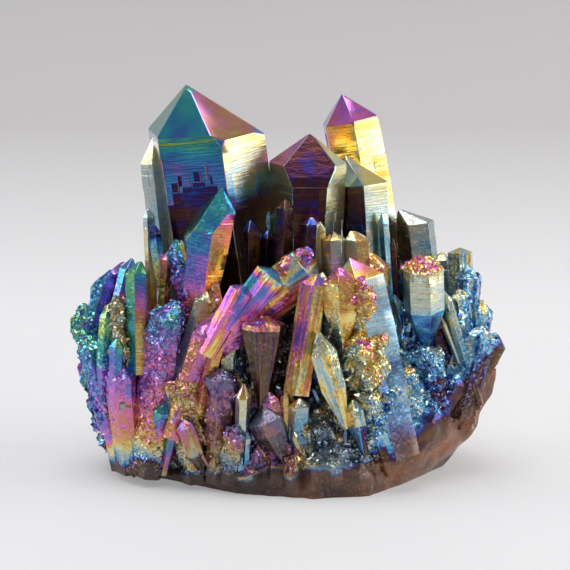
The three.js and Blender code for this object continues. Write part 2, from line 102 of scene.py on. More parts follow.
# roll turns the prism about its axis, and at 0 one face looks to the front. point is the height of the
# pyramid, and points gives one to each face. shift moves the tip right and to the front, in half widths.
# taper is the width at the root over the width under the pyramid, thick the depth over the width, heel
# the length of a pointed foot, and sunk how far the prism runs on past its root. film is the coating's
# thickness at the tip and at the root, from 0 to 1. druse is how thickly fine crystals cover it, all over
# or from the tip to the root, dull is how much smoky dust greys the film, and streaked turns its growth
# lines along it.
CRYSTALS = [
    ("giant_left", (-18, 9, 68), (-9.5, 8, 23), 22.2, dict(
        roll=-19, point=8, points=(8.5, 10, 10, 8.5, 8, 7.5), shift=(-0.2, 0), taper=1, thick=0.92,
        film=(0.78, 0.55))),
    ("giant_left_flank", (-23.5, 10, 59), (-20.5, 9, 25), 5.4, dict(
        roll=20, point=5.5, shift=(0.1, 0), taper=1, film=(0.34, 0.3), dull=0.4)),
    ("giant_right", (9.5, 15, 65), (17.5, 13, 26), 10.8, dict(
        roll=35, point=5, shift=(-0.1, 0.1), taper=1, film=(0.6, 0.36))),
    ("giant_middle", (4, 4, 60), (3.5, 3, 28), 14, dict(
        roll=0, point=5.5, points=(9, 5.5, 5.5, 5.5, 5.5, 5.5), shift=(0.05, 0.1), taper=0.8, thick=1.1,
        film=(0.5, 0.3))),
    ("right_shoulder", (10, 8, 55), (14.5, 6, 27.5), 9.2, dict(
        roll=34, point=5, shift=(-0.5, 0), taper=0.9, film=(0.46, 0.3), dull=0.15)),
    ("right_short", (19.5, 9, 45), (24.5, 7, 27), 6.8, dict(
        roll=10, point=3, shift=(-0.8, 0), taper=1, film=(0.01, 0.2), druse=(0.1, 0.2, 0.3, 0.5, 0.8, 0.9),
        dull=0.3)),
    ("right_filler", (27.5, 9, 37.5), (28, 7, 22.5), 4.6, dict(
        roll=12, point=1.5, shift=(0.3, 0), taper=1, film=(0.3, 0.2), druse=0.3, dull=0.15)),
    ("right_column", (30.5, 6, 39), (31, 3, 22), 4.8, dict(
        roll=20, point=1, taper=1, film=(0.36, 0.22), druse=(0.2, 0.4, 0.6, 0.7), dull=0.05,
        streaked=True)),
    # The valley crystals' film is thin, dark maroon to brown: partly a thinner coating deep in the valley,
    # partly painted shade.
    ("valley_a", (-6.5, 1, 45), (-6.5, 1, 28.5), 3.8, dict(roll=20, point=2, film=(0.1, 0.05))),
    ("valley_b", (-3.5, 2, 43), (-4, 2, 28.5), 2.4, dict(roll=30, point=1.5, film=(0.1, 0.05))),
    ("valley_c", (-1.5, 0, 43), (-2, 0, 29), 2.2, dict(roll=10, point=1.5, film=(0.1, 0.05))),
    ("valley_d", (-0.5, -3, 49.5), (-1, -2, 29.5), 2.8, dict(roll=25, point=1.5, film=(0.1, 0.05))),
    ("valley_f", (-9, 0, 42), (-9, 0, 27), 3.2, dict(roll=0, point=2.5, film=(0.1, 0.05), druse=0.3)),
    ("left_needle_a", (-24.5, 3, 47), (-24, 2, 30), 2.2, dict(
        roll=15, point=2, film=(0.3, 0.5), dull=0.4)),
    ("left_needle_b", (-23.5, -1, 45), (-21.5, -2, 31), 2.4, dict(
        roll=35, point=2, film=(0.1, 0.52), druse=0.3)),
    ("teal_leaner", (-11.5, -4.5, 52), (-15.5, -5, 30), 9.4, dict(
        roll=38, point=5, points=(4, 4, 4.5, 6, 10, 8), shift=(0.25, 0), taper=0.66, film=(0.78, 0.6),
        druse=0.15)),
    ("crusted_stem", (-19.5, -4, 43), (-16.5, -6, 28.5), 4.2, dict(
        roll=20, point=2.5, film=(0.7, 0.5), druse=0.8)),
    ("rose_tooth", (-21, -2, 40), (-22, -3, 29.5), 2.4, dict(
        roll=40, point=1.5, film=(0.5, 0.44), druse=0.3)),
    ("green_prism", (-25.5, -6, 39.5), (-26, -8, 24.5), 4, dict(
        roll=22, point=2.5, shift=(0.3, 0), taper=0.9, film=(0.84, 0.5))),
    ("left_filler_a", (-29, 2, 37.5), (-30, 1, 26), 4.2, dict(
        roll=18, point=2, film=(0.64, 0.6), druse=0.4)),
    ("left_filler_b", (-33, 3, 34.5), (-32.5, 1, 26), 5, dict(
        roll=8, point=2, film=(0.66, 0.7), druse=0.5)),
    ("left_blade_a", (-27, -2, 39), (-30.5, -4, 26.5), 3.4, dict(
        roll=10, point=2.5, film=(0.7, 0.62), druse=0.35)),
    ("left_blade_b", (-31, 0, 36.5), (-34.5, -1, 26.5), 3.8, dict(
        roll=25, point=3, sunk=1, film=(0.68, 0.72), druse=0.4)),
    ("left_crust", (-36, 0, 30), (-33, -2, 13), 5.2, dict(
        roll=10, point=2.5, film=(0.76, 0.68), druse=0.85)),
    ("left_crust_low", (-35, -4, 25.5), (-32, -5, 13), 4.8, dict(
        roll=25, point=2.5, film=(0.7, 0.62), druse=0.6)),
    ("gold_crust", (-30, -6, 32.5), (-28.5, -8, 19), 5.2, dict(
        roll=10, point=1.5, film=(0.42, 0.36), druse=1, dull=0.4)),
    ("left_green_blade", (-31, -7, 32), (-32.5, -8, 15.5), 3, dict(
        roll=20, point=2.5, heel=5, film=(0.86, 0.72), druse=0.35)),
    ("left_blue_chip", (-29.5, -10, 26.5), (-30, -10, 13.5), 2.6, dict(
        roll=20, point=1.5, heel=4, film=(0.72, 0.62), druse=0.3)),
    ("left_column_a", (-33, -3, 22), (-29.5, -4, 2), 4.6, dict(
        roll=15, point=3, sunk=1, film=(0.8, 0.5), druse=0.42)),
    ("left_column_b", (-29, -9, 22.5), (-27.5, -7, 2.5), 6.6, dict(
        roll=5, point=3, sunk=1, film=(0.6, 0.4), druse=0.44, dull=0.1)),
    ("magenta_crust", (-19, -9, 33), (-24.5, -9, 2.5), 7.2, dict(
        roll=15, point=3, shift=(0.3, 0), taper=1, sunk=1, film=(0.66, 0.54), druse=0.6, dull=0.15)),
    ("teal_stub", (-21.5, -13, 15.5), (-22.5, -10, 3.5), 3, dict(
        roll=20, point=1.5, sunk=1, film=(0.78, 0.25), druse=0.4)),
    ("olive_leaner", (-14, -8, 34.5), (-19.5, -11, 18), 3.2, dict(
        roll=20, point=2, film=(0.4, 0.3), druse=0.35, dull=0.4)),
    ("gold_knob", (-18, -13, 21), (-16.5, -12, 6), 5.8, dict(
        roll=10, point=2, film=(0.46, 0.4), druse=0.85, dull=0.3)),
    ("purple_wedge", (-18, -15, 13.5), (-14.5, -13, 2.5), 3.4, dict(
        roll=25, point=1.5, heel=4.5, film=(0.6, 0.1), druse=0.35, dull=0.4, streaked=True)),
    ("crusted_stub", (-11.5, -14, 22), (-12, -13, 2.5), 5.2, dict(
        roll=20, point=1.5, sunk=1, film=(0.6, 0.3), druse=0.6, dull=0.6)),
    ("rose_leaner_a", (-13.5, -12, 30), (-18.5, -13, 14), 4.2, dict(
        roll=20, point=2.5, film=(0.53, 0.48), druse=0.3, dull=0.25)),
    ("rose_leaner_b", (-11, -12, 30.5), (-14.5, -13, 18), 3.2, dict(
        roll=25, point=2.5, film=(0.55, 0.48), druse=(0, 0.1, 0.4))),
    ("dark_crust", (-14, -7, 35.5), (-12.5, -9, 25), 3.4, dict(
        roll=10, point=1.5, film=(0.5, 0.2), druse=1, dull=0.3)),
    ("log", (5.5, -7, 39.5), (-13, -10, 26), 8, dict(
        roll=25, point=3, taper=0.9, sunk=1, film=(0.35, 0.5), druse=0.2, streaked=True)),
    ("log_block", (-2, -11, 39), (-9.5, -12, 29.5), 5.8, dict(
        roll=20, point=1.5, sunk=1, film=(0.7, 0.45), streaked=True)),
    ("log_end", (-7, -12, 36.5), (-13.5, -13, 25), 5, dict(
        roll=15, point=1.5, sunk=1, film=(0.56, 0.5), streaked=True)),
    ("log_under", (4, -5, 35.5), (-11, -8, 23.5), 5.2, dict(
        roll=0, point=1.5, sunk=1, film=(0.46, 0.42), druse=0.4, dull=0.2)),
    ("log_crust", (4.5, -8, 41), (-5.5, -10, 36), 3.8, dict(
        roll=0, point=1.5, sunk=1, film=(0.5, 0.46), druse=0.9)),
    ("pale_slab", (-10, -9, 29.5), (-11, -10, 17.5), 6.2, dict(
        roll=5, point=1.5, heel=3.5, film=(0.4, 0.22), dull=0.2, streaked=True)),
    ("brown_wedge", (-4, -14, 31.5), (-4.5, -15, 14.5), 7.2, dict(
        roll=18, point=1.5, heel=14.5, film=(0.5, 0.1), druse=(0.5, 0.2, 0.1, 0.1), dull=0.1,
        streaked=True)),
    ("striped_prism", (5, -12, 38.5), (1.5, -14, 17.5), 5, dict(
        roll=25, point=2, taper=0.95, sunk=0, film=(0.58, 0.42), druse=0.2, streaked=True)),
    ("grey_nub", (6, -9, 38), (5, -11, 28), 2.6, dict(
        roll=10, point=1.5, film=(0.3, 0.3), druse=0.3, dull=0.4)),
    ("violet_stub", (4, -5, 47), (3.5, -6, 34), 3.4, dict(roll=5, point=1.5, film=(0.6, 0.45))),
    ("grey_facet", (5.5, -5, 46), (6, -5, 33.5), 2, dict(
        roll=30, point=1.5, film=(0.35, 0.3), dull=0.4)),
    ("nub_a", (8, -6, 44.5), (8.5, -7, 32.5), 4.2, dict(
        roll=10, point=1.5, film=(0.38, 0.3), dull=0.35)),
    ("nub_b", (11, -5, 44.5), (13, -6, 30.5), 4.8, dict(
        roll=20, point=2, shift=(-0.4, 0), film=(0.44, 0.25), dull=0.3)),
    ("gold_cap", (14, -6, 41), (15.5, -7, 24.5), 5.8, dict(
        roll=15, point=3, shift=(-0.4, 0), heel=7, film=(0.5, 0.2), druse=(0.5, 0.3, 0, 0))),
    ("gold_giant", (10.5, -9, 40.5), (17.5, -12, 10.5), 10, dict(
        roll=32, point=4, shift=(0, 0.2), taper=0.85, film=(0.56, 0.25), druse=(0, 0, 0, 0.15, 0.25, 0.3))),
    ("gold_face", (9, -13, 40), (9.5, -14, 25), 6.2, dict(
        roll=20, point=3, heel=7, film=(0.5, 0.42), druse=0.25)),
    ("red_crust", (12.5, -15, 38.5), (12.5, -14, 28), 4, dict(
        roll=15, point=2, heel=3.5, film=(0.47, 0.42), druse=1)),
    ("pale_crust", (13, -14, 28.5), (14, -14, 19), 7.8, dict(
        roll=15, point=1.5, sunk=0, film=(0.39, 0.33), druse=1)),
    ("pale_spear", (5, -16, 29.5), (10, -17, 12), 4.8, dict(
        roll=28, point=4.5, heel=7.5, film=(0.36, 0.44), druse=0.25, streaked=True)),
    ("white_point", (-7.5, -17, 20.5), (-8, -15, 5), 3, dict(
        roll=2, point=3, sunk=1, film=(0.36, 0.3), dull=0.05)),
    ("violet_column", (-9, -18, 13), (-10, -15, 3), 4, dict(
        roll=15, point=1.5, sunk=1, film=(0.62, 0.1), druse=0.7, dull=0.5, streaked=True)),
    ("teal_rib", (-7, -17, 11.5), (-7.5, -15, 3.5), 2, dict(roll=20, point=1, sunk=1, film=(0.3, 0.18))),
    ("grey_cone", (-4.5, -16, 16), (0.5, -15, 3.5), 6.8, dict(
        roll=15, point=2.5, heel=8.5, film=(0.62, 0.1), druse=0.44, dull=0.75, streaked=True)),
    ("rose_chip", (-3.5, -15, 18.5), (-1, -15, 8.5), 3.4, dict(
        roll=30, point=2, film=(0.53, 0.4), druse=0.4, dull=0.35)),
    ("pale_rib_a", (2, -16, 17.5), (1.5, -15, 3.5), 4, dict(
        roll=20, point=1.5, sunk=1, film=(0.36, 0.1), druse=0.3, dull=0.2)),
    ("spark_column", (6, -15, 13.5), (6.5, -14, 3), 5, dict(
        roll=10, point=1.5, sunk=1, film=(0.24, 0.1), druse=0.8, dull=0.55)),
    ("spark_foot", (9, -17, 9.5), (9.5, -15, 2.5), 3.8, dict(
        roll=20, point=1, sunk=1, film=(0.22, 0.1), druse=0.7, dull=0.55)),
    ("blue_wedge_a", (11, -17, 17.5), (13.5, -16, 6), 4, dict(
        roll=15, point=2, heel=7, film=(0.36, 0.2), druse=0.35, streaked=True)),
    ("blue_wedge_b", (15, -16, 12.5), (17.5, -14, 2.5), 3.4, dict(
        roll=25, point=1.5, heel=6, film=(0.34, 0.12), druse=0.4, streaked=True)),
    ("snow_crust", (15, -15, 19.5), (16, -13, 6.5), 7.2, dict(
        roll=10, point=1.5, sunk=1, film=(0.28, 0.2), druse=1)),
    ("violet_foot", (14, -16, 7), (14.5, -14, 1), 4, dict(
        roll=0, point=1, sunk=1, film=(0.2, 0.1), druse=0.44)),
    ("right_stump_a", (20.5, -10, 21.5), (23, -10, 7), 5, dict(
        roll=15, point=1.5, heel=3.5, film=(0.27, 0.2), druse=0.8)),
    ("right_stump_b", (23.5, -8, 24.5), (27, -9, 11.5), 5.8, dict(
        roll=20, point=1.5, heel=7.5, film=(0.25, 0.17), druse=0.8)),
    ("hero_small", (23, -9, 41), (24, -7, 23.5), 6.8, dict(
        roll=47, point=2.5, heel=7.5, taper=1, film=(0.5, 0.18), druse=(1, 0.7, 0, 0, 0, 0, 0, 0))),
    ("blue_post", (21.5, -4, 27.5), (21.5, -6, 15), 2.6, dict(
        roll=20, point=1.5, film=(0.15, 0.1), druse=0.3)),
    ("navy_post", (26, -3, 28), (27.5, -5, 15), 4.6, dict(
        roll=20, point=1.5, film=(0.16, 0.1), druse=0.3)),
    ("white_blade", (27, -6, 34), (32, -6, 18), 2.2, dict(
        roll=20, point=2, film=(0.335, 0.24), druse=0.44)),
    ("right_crust_a", (31.5, 0, 37.5), (31, -2, 13), 4.8, dict(
        roll=15, point=2.5, film=(0.27, 0.22), druse=0.6, streaked=True)),
    ("right_crust_b", (34, -1, 31.5), (32, -2, 14), 4.8, dict(
        roll=20, point=2.5, film=(0.27, 0.22), druse=0.5, streaked=True)),
    ("right_crust_c", (37, 0, 25), (32, -1, 14.5), 5, dict(
        roll=20, point=2, film=(0.26, 0.2), druse=0.44, streaked=True)),
    ("right_crust_d", (30, -3, 33.5), (32, -4, 17), 4.2, dict(
        roll=15, point=1.5, film=(0.28, 0.21), druse=0.6, streaked=True)),
    ("right_crust_e", (34, -4, 27.5), (31, -5, 15.5), 5.2, dict(
        roll=30, point=2, film=(0.27, 0.21), druse=0.55, streaked=True)),
]

# Crystals too slender for the solid model.
FINE_CRYSTALS = [
    ("gap_post", (18.5, 5, 41), (19, 4, 30), 1.8, dict(roll=10, point=2, film=(0.1, 0.16))),
    ("valley_e", (-3.5, 4, 46.5), (-3.5, 4, 30), 1.8, dict(roll=0, point=1.5, film=(0.3, 0.1))),
    ("gold_blade", (-18.5, -6, 43), (-15.5, -7, 31.5), 1.2, dict(
        roll=0, point=1.5, thick=0.8, film=(0.45, 0.42))),
    ("slim_leaner", (-18.5, -15, 15.5), (-21.5, -11, 3), 1.8, dict(
        roll=15, point=2, sunk=1, film=(0.56, 0.86), dull=0.3)),
    ("yellow_needle", (-13, -7, 36.5), (-10.5, -9, 25.5), 1.6, dict(
        roll=30, point=1.5, film=(0.44, 0.42))),
    ("blue_strip", (16.5, 3, 46), (18, 2, 28.5), 1.8, dict(roll=30, point=2, film=(0.28, 0.22))),
    ("pale_rib_b", (-0.5, -16, 18.5), (0, -15, 4), 1.8, dict(
        roll=10, point=1, sunk=1, film=(0.42, 0.3), dull=0.3)),
    ("blue_sliver", (18.5, -5, 33), (20, -6, 27), 1.6, dict(
        roll=20, point=1.5, heel=2.5, film=(0.3, 0.24), streaked=True)),
    ("white_sliver", (26.5, -7, 29.5), (29, -6, 23), 1, dict(roll=20, point=1.5, film=(0.36, 0.3))),
]

# Tags of a crystal's faces: the base, then the prism, the point and the heel with six faces each, the
# broken tip, and from KNOCKED and CHAMFER on one for each knocked corner and each worn edge.
BASE = 0
PRISM = 10
POINT = 20
HEEL = 30
BROKEN = 40
KNOCKED = 50
CHAMFER = 100

# The film on single faces of the large crystals, from the top of the face to its foot. Faces are numbered
# from the front to the right, and round the back. dust is what some faces have more than the crystal.
FACE_FILMS = {
    "giant_left": {
        "point": {5: (0.81, 0.79), 0: (0.77, 0.75), 1: (0.55, 0.49), 2: (0.5, 0.4)},
        "prism": {
            5: (0.31, 0.30, 0.33, 0.3),
            0: (0.82, 0.72, 0.69, 0.66, 0.63, 0.63, 0.63, 0.63),
            # The right face turns to a thin, dark brown film towards its foot: a painted dark reflection of
            # the crystal beside it.
            1: (0.44, 0.37, 0.25, 0.05, 0.02, 0.02, 0.02, 0.02),
            2: (0.4, 0.3, 0.2, 0.1),
        },
        "dust": {POINT + 1: 0.5, POINT + 5: 0.2, PRISM + 5: 0.2, PRISM + 1: 0.3},
    },
    "giant_middle": {
        # On the front point and prism the film is thin and dark maroon: a painted dark reflection.
        "point": {5: (0.54, 0.56), 0: (0.11, 0.11), 1: (0.44, 0.40)},
        "prism": {
            5: (0.5, 0.41, 0.38, 0.35, 0.31, 0.22),
            0: (0.085, 0.08, 0.08, 0.07, 0.06),
            1: (0.40, 0.39, 0.37, 0.3, 0.22),
        },
        "dust": {POINT + 5: 0.35, PRISM + 5: 0.35},
    },
    "giant_right": {
        "point": {5: (0.60, 0.56, 0.53), 0: (0.57, 0.56, 0.55)},
        "prism": {
            5: (0.40, 0.38, 0.36, 0.34, 0.3),
            0: (0.41, 0.39, 0.37, 0.36, 0.36),
            1: (0.52, 0.44, 0.40, 0.38),
        },
    },
    "right_shoulder": {
        "point": {5: (0.38, 0.24), 0: (0.36, 0.34)},
        "prism": {5: (0.03, 0.16, 0.18, 0.2), 0: (0.34, 0.33, 0.31, 0.28)},
    },
    "right_short": {
        "point": {0: (0.32, 0.31), 1: (0.34, 0.33), 5: (0.02, 0.01)},
        "prism": {0: (0.32, 0.30, 0.24, 0.21), 1: (0.33, 0.29, 0.24), 5: (0.02, 0.03, 0.2, 0.18)},
        "dust": {POINT: 0.15},
    },
    "teal_leaner": {
        "point": {5: (0.82, 0.76), 0: (0.73, 0.71), 4: (0.82, 0.8)},
        "prism": {
            4: (0.8, 0.76, 0.7),
            5: (0.74, 0.72, 0.71, 0.68, 0.56, 0.45),
            0: (0.55, 0.46, 0.44, 0.45, 0.43),
            1: (0.3, 0.1),
        },
    },
    "hero_small": {
        "point": {5: (0.52, 0.45), 0: (0.5, 0.46), 4: (0.5, 0.45)},
        "prism": {
            5: (0.36, 0.32, 0.30, 0.27, 0.25, 0.24),
            0: (0.38, 0.33, 0.30, 0.27, 0.25, 0.24),
            1: (0.38, 0.32, 0.27, 0.25, 0.24, 0.22),
            4: (0.4, 0.3, 0.24, 0.22),
        },
    },
    "green_prism": {
        "point": {5: (0.82, 0.8), 0: (0.8, 0.78)},
        "prism": {5: (0.83, 0.82, 0.8, 0.78), 0: (0.73, 0.66, 0.58, 0.5, 0.44, 0.42)},
    },
    "gold_giant": {
        "point": {5: (0.28, 0.58), 0: (0.57, 0.4)},
        "prism": {
            5: (0.44, 0.42, 0.40, 0.30),
            0: (0.32, 0.30, 0.27, 0.24, 0.21, 0.19),
            1: (0.3, 0.25, 0.2),
        },
        "dust": {PRISM: 0.45},
    },
    "gold_face": {
        "point": {5: (0.58, 0.44), 0: (0.56, 0.42)},
        "prism": {5: (0.42, 0.4, 0.38), 0: (0.43, 0.45, 0.44)},
    },
    "striped_prism": {
        "point": {5: (0.3, 0.56)},
        "prism": {
            5: (0.57, 0.58, 0.60, 0.57, 0.5, 0.44),
            0: (0.42, 0.45, 0.43, 0.46, 0.42, 0.36),
            1: (0.32, 0.30, 0.32, 0.3),
        },
    },
    "brown_wedge": {
        "prism": {5: (0.5, 0.47), 0: (0.47, 0.49), 1: (0.02, 0.05)},
        "heel": {5: (0.09, 0.1, 0.09, 0.1, 0.12), 0: (0.06, 0.05, 0.04, 0.06), 1: (0.03, 0.04, 0.03)},
    },
    "log_block": {
        "prism": {
            5: (0.25, 0.68, 0.62, 0.67, 0.6),
            0: (0.25, 0.66, 0.58, 0.62, 0.57),
            1: (0.44, 0.46, 0.47),
        },
    },
    "log_end": {"prism": {5: (0.57, 0.56, 0.57), 0: (0.56, 0.58, 0.44), 1: (0.3, 0.6, 0.44)}},
    "pale_slab": {"prism": {5: (0.42, 0.4, 0.36), 0: (0.40, 0.38, 0.33, 0.27), 1: (0.3, 0.24, 0.2)}},
    "log": {
        "prism": {
            5: (0.27, 0.44, 0.56, 0.57, 0.55),
            0: (0.3, 0.46, 0.57, 0.58, 0.56),
            1: (0.42, 0.44, 0.46),
        },
    },
    "pale_spear": {
        "point": {5: (0.34, 0.36), 0: (0.36, 0.35)},
        "prism": {5: (0.34, 0.33), 0: (0.36, 0.38), 1: (0.35, 0.3)},
        "heel": {0: (0.42, 0.43), 5: (0.3, 0.3), 1: (0.43, 0.42)},
    },
    "magenta_crust": {"prism": {5: (0.74, 0.62, 0.57, 0.48, 0.2), 0: (0.70, 0.60, 0.55, 0.48, 0.2)}},
    "violet_stub": {
        "point": {5: (0.12, 0.12), 0: (0.12, 0.1)},
        "prism": {5: (0.1, 0.08, 0.05, 0.03), 0: (0.1, 0.08, 0.04, 0.03), 1: (0.33, 0.3)},
    },
    "white_point": {
        "point": {5: (0.36, 0.35), 0: (0.53, 0.37)},
        "prism": {5: (0.34, 0.3, 0.26), 0: (0.36, 0.33, 0.3)},
    },
}


# Blocks on the faces of one crystal: the face, from and to across it from its middle, from and to down
# from the tip, how far it stands out, and how much thicker its film is.
FACE_RELIEFS = {
    "giant_left": [
        (0, -6.5, 6.5, 9.4, 10.0, 0.1, 0.08),
        (0, -5.7, -5.3, 12.3, 15.6, 0.2, -0.24),
        # Pits that lie back 0.3 under a film thinner by 0.56 turn dark maroon: painted shade in the pits.
        (0, -4.3, -3.1, 16.6, 18.2, -0.3, -0.56),
        (0, -2.9, -2.2, 15.4, 17.2, -0.3, -0.56),
        (0, 0.1, 1.3, 14.8, 16.6, -0.3, -0.56),
        (0, 2.5, 2.8, 13.9, 16.4, 0.2, -0.2),
        (0, 3.1, 3.5, 15.8, 17.3, -0.3, -0.56),
        (0, -3.1, -2.9, 16.4, 18.2, 0.2, -0.22),
        (0, 1.3, 1.5, 14.8, 16.8, 0.2, -0.2),
        (0, -0.9, -0.7, 16.2, 18, 0.2, -0.22),
        # The lower front lies back a little under a film thinner by 0.56, a dark maroon that is painted
        # shade.
        (0, -6.4, -4.33, 20.5, 46, -0.15, -0.56),
        (0, -4.4, -2.33, 18.4, 46, -0.15, -0.56),
        (0, -2.4, -0.33, 17.5, 46, -0.15, -0.56),
        (0, -0.4, 2.07, 16.8, 46, -0.15, -0.56),
        (0, 2.0, 4.27, 17.6, 46, -0.15, -0.56),
        (0, 4.2, 6.4, 19.2, 46, -0.15, -0.56),
        (1, -3, 2.5, 16, 21, -0.3, 0.05),
    ],
    "striped_prism": [
        (5, -1.4, -0.8, 2, 18, 0.12, -0.12),
        (5, 0.2, 0.7, 3, 17, -0.12, -0.06),
        (0, -1.9, -1.2, 2, 19, 0.12, 0.1),
        (0, -0.8, -0.3, 3, 19, -0.12, -0.07),
        (0, 0.4, 1.0, 2, 18, 0.1, 0.05),
    ],
    "log_block": [
        (5, -1.8, -1.0, 1.5, 9, 0.15, 0.08),
        (5, -0.6, 0.2, 2, 8, -0.15, 0.1),
        (0, -1.6, -0.9, 1, 8, 0.15, 0.1),
        (0, 0.2, 1.2, 2, 9, -0.12, -0.04),
    ],
    "brown_wedge": [
        (0, -2.8, -2.2, 1.5, 13, 0.25, 0.48),
        (0, -1.8, -1.0, 3, 9, 0.2, 0.38),
        (0, -0.6, 0.1, 2, 14, -0.3, -0.03),
        (0, 0.5, 1.0, 4, 12, 0.25, 0.03),
        (0, 1.4, 2.0, 2, 10, -0.25, -0.02),
        (5, -1.5, -0.8, 2, 12, 0.3, 0.47),
        (5, 0.2, 1.0, 2, 12, -0.3, 0.04),
    ],
}
POINT_OVER_WIDTH = 0.5
TAPER = 0.85
SUNK = 5
HEEL_TIP = 0.15
FACE_VARIATION = 0.1
POINT_VARIATION = 0.05
SKIN_FROM_DRUSE = 0.45
DRUSE_LEAST = 0.13
SMOOTH_FROM_WIDTH = 9

# The crystals round the back and the sides stand in tiers on an oval.
TIERS = [
    dict(count=12, oval=0.86, root=3, height=(11, 17), width=(5, 8), lean=7, sunk=1),
    dict(count=10, oval=0.8, root=13, height=(12, 18), width=(4.5, 7), lean=30, sunk=SUNK),
    dict(count=6, oval=0.5, root=20, height=(14, 22), width=(5.5, 8), lean=20, sunk=SUNK),
]
TIER_HALF_LENGTH = 36
TIER_HALF_DEPTH = 21
TIER_FIRST_ANGLE = 22
TIER_LAST_ANGLE = 154
TIER_STEP_VARIATION = 0.25
TIER_LEAN_VARIATION = 7
TIER_TIP_VARIATION = 1.5
TIER_SHIFT_VARIATION = 0.4

SEED = 20240
BLOCK_HALF = 100
PRISM_FACES = 6
TO_FRONT = Vector((0, -1, 0))

# ---- Even random numbers, the same as in the solid model ----

RANDOM_FACTOR = 16807
RANDOM_MODULUS = 2147483647
dice = {"state": SEED}


def roll_dice(low, high):
    dice["state"] = dice["state"] * RANDOM_FACTOR % RANDOM_MODULUS
    return low + (high - low) * dice["state"] / RANDOM_MODULUS


def roll_round(middle, variation):
    return roll_dice(middle - variation, middle + variation)


# ---- Convex bodies, cut from a block by planes ----


def block_round(middle):
    half = (-BLOCK_HALF, BLOCK_HALF)
    corners = [Vector(middle) + Vector((x, y, z)) for x in half for y in half for z in half]
    rounds = [[0, 1, 3, 2], [4, 6, 7, 5], [0, 4, 5, 1], [2, 3, 7, 6], [0, 2, 6, 4], [1, 5, 7, 3]]
    return corners, [(BASE, corner_round) for corner_round in rounds]


def cut_body(body, plane, tag):
    """What is left of a convex body behind a plane, closed by a new face with that tag."""
    corners, faces = list(body[0]), body[1]
    normal, reach = plane
    heights = [normal.dot(corner) - reach for corner in corners]
    on_edge = {}

    def corner_between(a, b):
        edge = (min(a, b), max(a, b))
        if edge not in on_edge:
            share = heights[a] / (heights[a] - heights[b])
            on_edge[edge] = len(corners)
            corners.append(corners[a].lerp(corners[b], share))
        return on_edge[edge]

    kept_faces = []
    cap_next = {}
    for face_tag, face in faces:
        kept = []
        leaving = entering = None
        for a, b in zip(face, face[1:] + face[:1]):
            behind = heights[a] <= 0
            if behind:
                kept.append(a)
            if behind == (heights[b] <= 0):
                continue
            corner = corner_between(a, b)
            kept.append(corner)
            if behind:
                leaving = corner
            else:
                entering = corner
        if len(kept) > 2:
            kept_faces.append((face_tag, kept))
        if leaving is not None:
            cap_next[entering] = leaving
    if cap_next:
        cap = [next(iter(cap_next))]
        while cap_next[cap[-1]] != cap[0]:
            cap.append(cap_next[cap[-1]])
        kept_faces.append((tag, cap))
    return corners, kept_faces


def plane_through(point, normal):
    normal = normal.normalized()
    return normal, normal.dot(point)


# ---- One crystal ----


def crystal_form(name, tip, root, width, options):
    """The planes and the body of a prism with six faces, closed at the tip by a pyramid."""
    tip, root = Vector(tip), Vector(root)
    point = options.get("point", width * POINT_OVER_WIDTH)
    points = options.get("points", (point,) * PRISM_FACES)
    taper = options.get("taper", TAPER)
    thick = options.get("thick", 1)
    heel = options.get("heel", 0)
    sunk = options.get("sunk", 0 if heel else SUNK)
    roll = math.radians(options.get("roll", 0))
    shift_right, shift_front = options.get("shift", (0, 0))
    half = width / 2

    lean = (tip - root).normalized()
    front = (TO_FRONT - lean * TO_FRONT.dot(lean)).normalized()
    right = lean.cross(front)
    axis = tip - root - right * shift_right * half - front * shift_front * half
    length = axis.length
    axis.normalize()

    turn = 2 * math.pi / PRISM_FACES
    angles = [roll + k * turn for k in range(PRISM_FACES)]
    widest = max(math.sin(angle + turn / 2) for angle in angles)
    apothem = half * math.cos(turn / 2) / widest

    planes = {BASE: plane_through(root - axis * sunk, -axis)}
    sides = []
    for k, angle in enumerate(angles):
        side = front * math.cos(angle) + right * math.sin(angle)
        side = (side - axis * side.dot(axis)).normalized()
        sides.append(side)
        stretch = 1 + (thick - 1) * math.cos(angle) ** 2
        reach = apothem * stretch * roll_round(1, FACE_VARIATION)
        shoulder = root + axis * (length - point) + side * reach
        narrowing = reach * (1 - taper) / (length - point)
        planes[PRISM + k] = plane_through(shoulder, side - axis * narrowing)

        tip_reach = (tip - root).dot(side)
        foot = shoulder + axis * (point - points[k])
        normal, place = plane_through(foot, side * points[k] + axis * (reach - tip_reach))
        planes[POINT + k] = (normal, place - roll_dice(0, POINT_VARIATION) * half)

        if heel:
            heel_reach = reach - narrowing * (length - point - heel)
            heel_top = root + axis * heel + side * heel_reach
            planes[HEEL + k] = plane_through(heel_top, side * heel + axis * (reach * HEEL_TIP - heel_reach))

    body = block_round(root)
    for tag, plane in planes.items():
        body = cut_body(body, plane, tag)
    druse = np.maximum(options.get("druse", 0), DRUSE_LEAST if width < SMOOTH_FROM_WIDTH else 0)
    druse = np.atleast_1d(druse)
    return dict(
        name=name, root=root, axis=axis, length=length, point=point, sunk=sunk, width=width,
        sides=sides, planes=planes, body=body, film=options.get("film"),
        druse=druse, skin=druse.max() > SKIN_FROM_DRUSE, dull=options.get("dull", 0),
        streaked=options.get("streaked", False),
    )


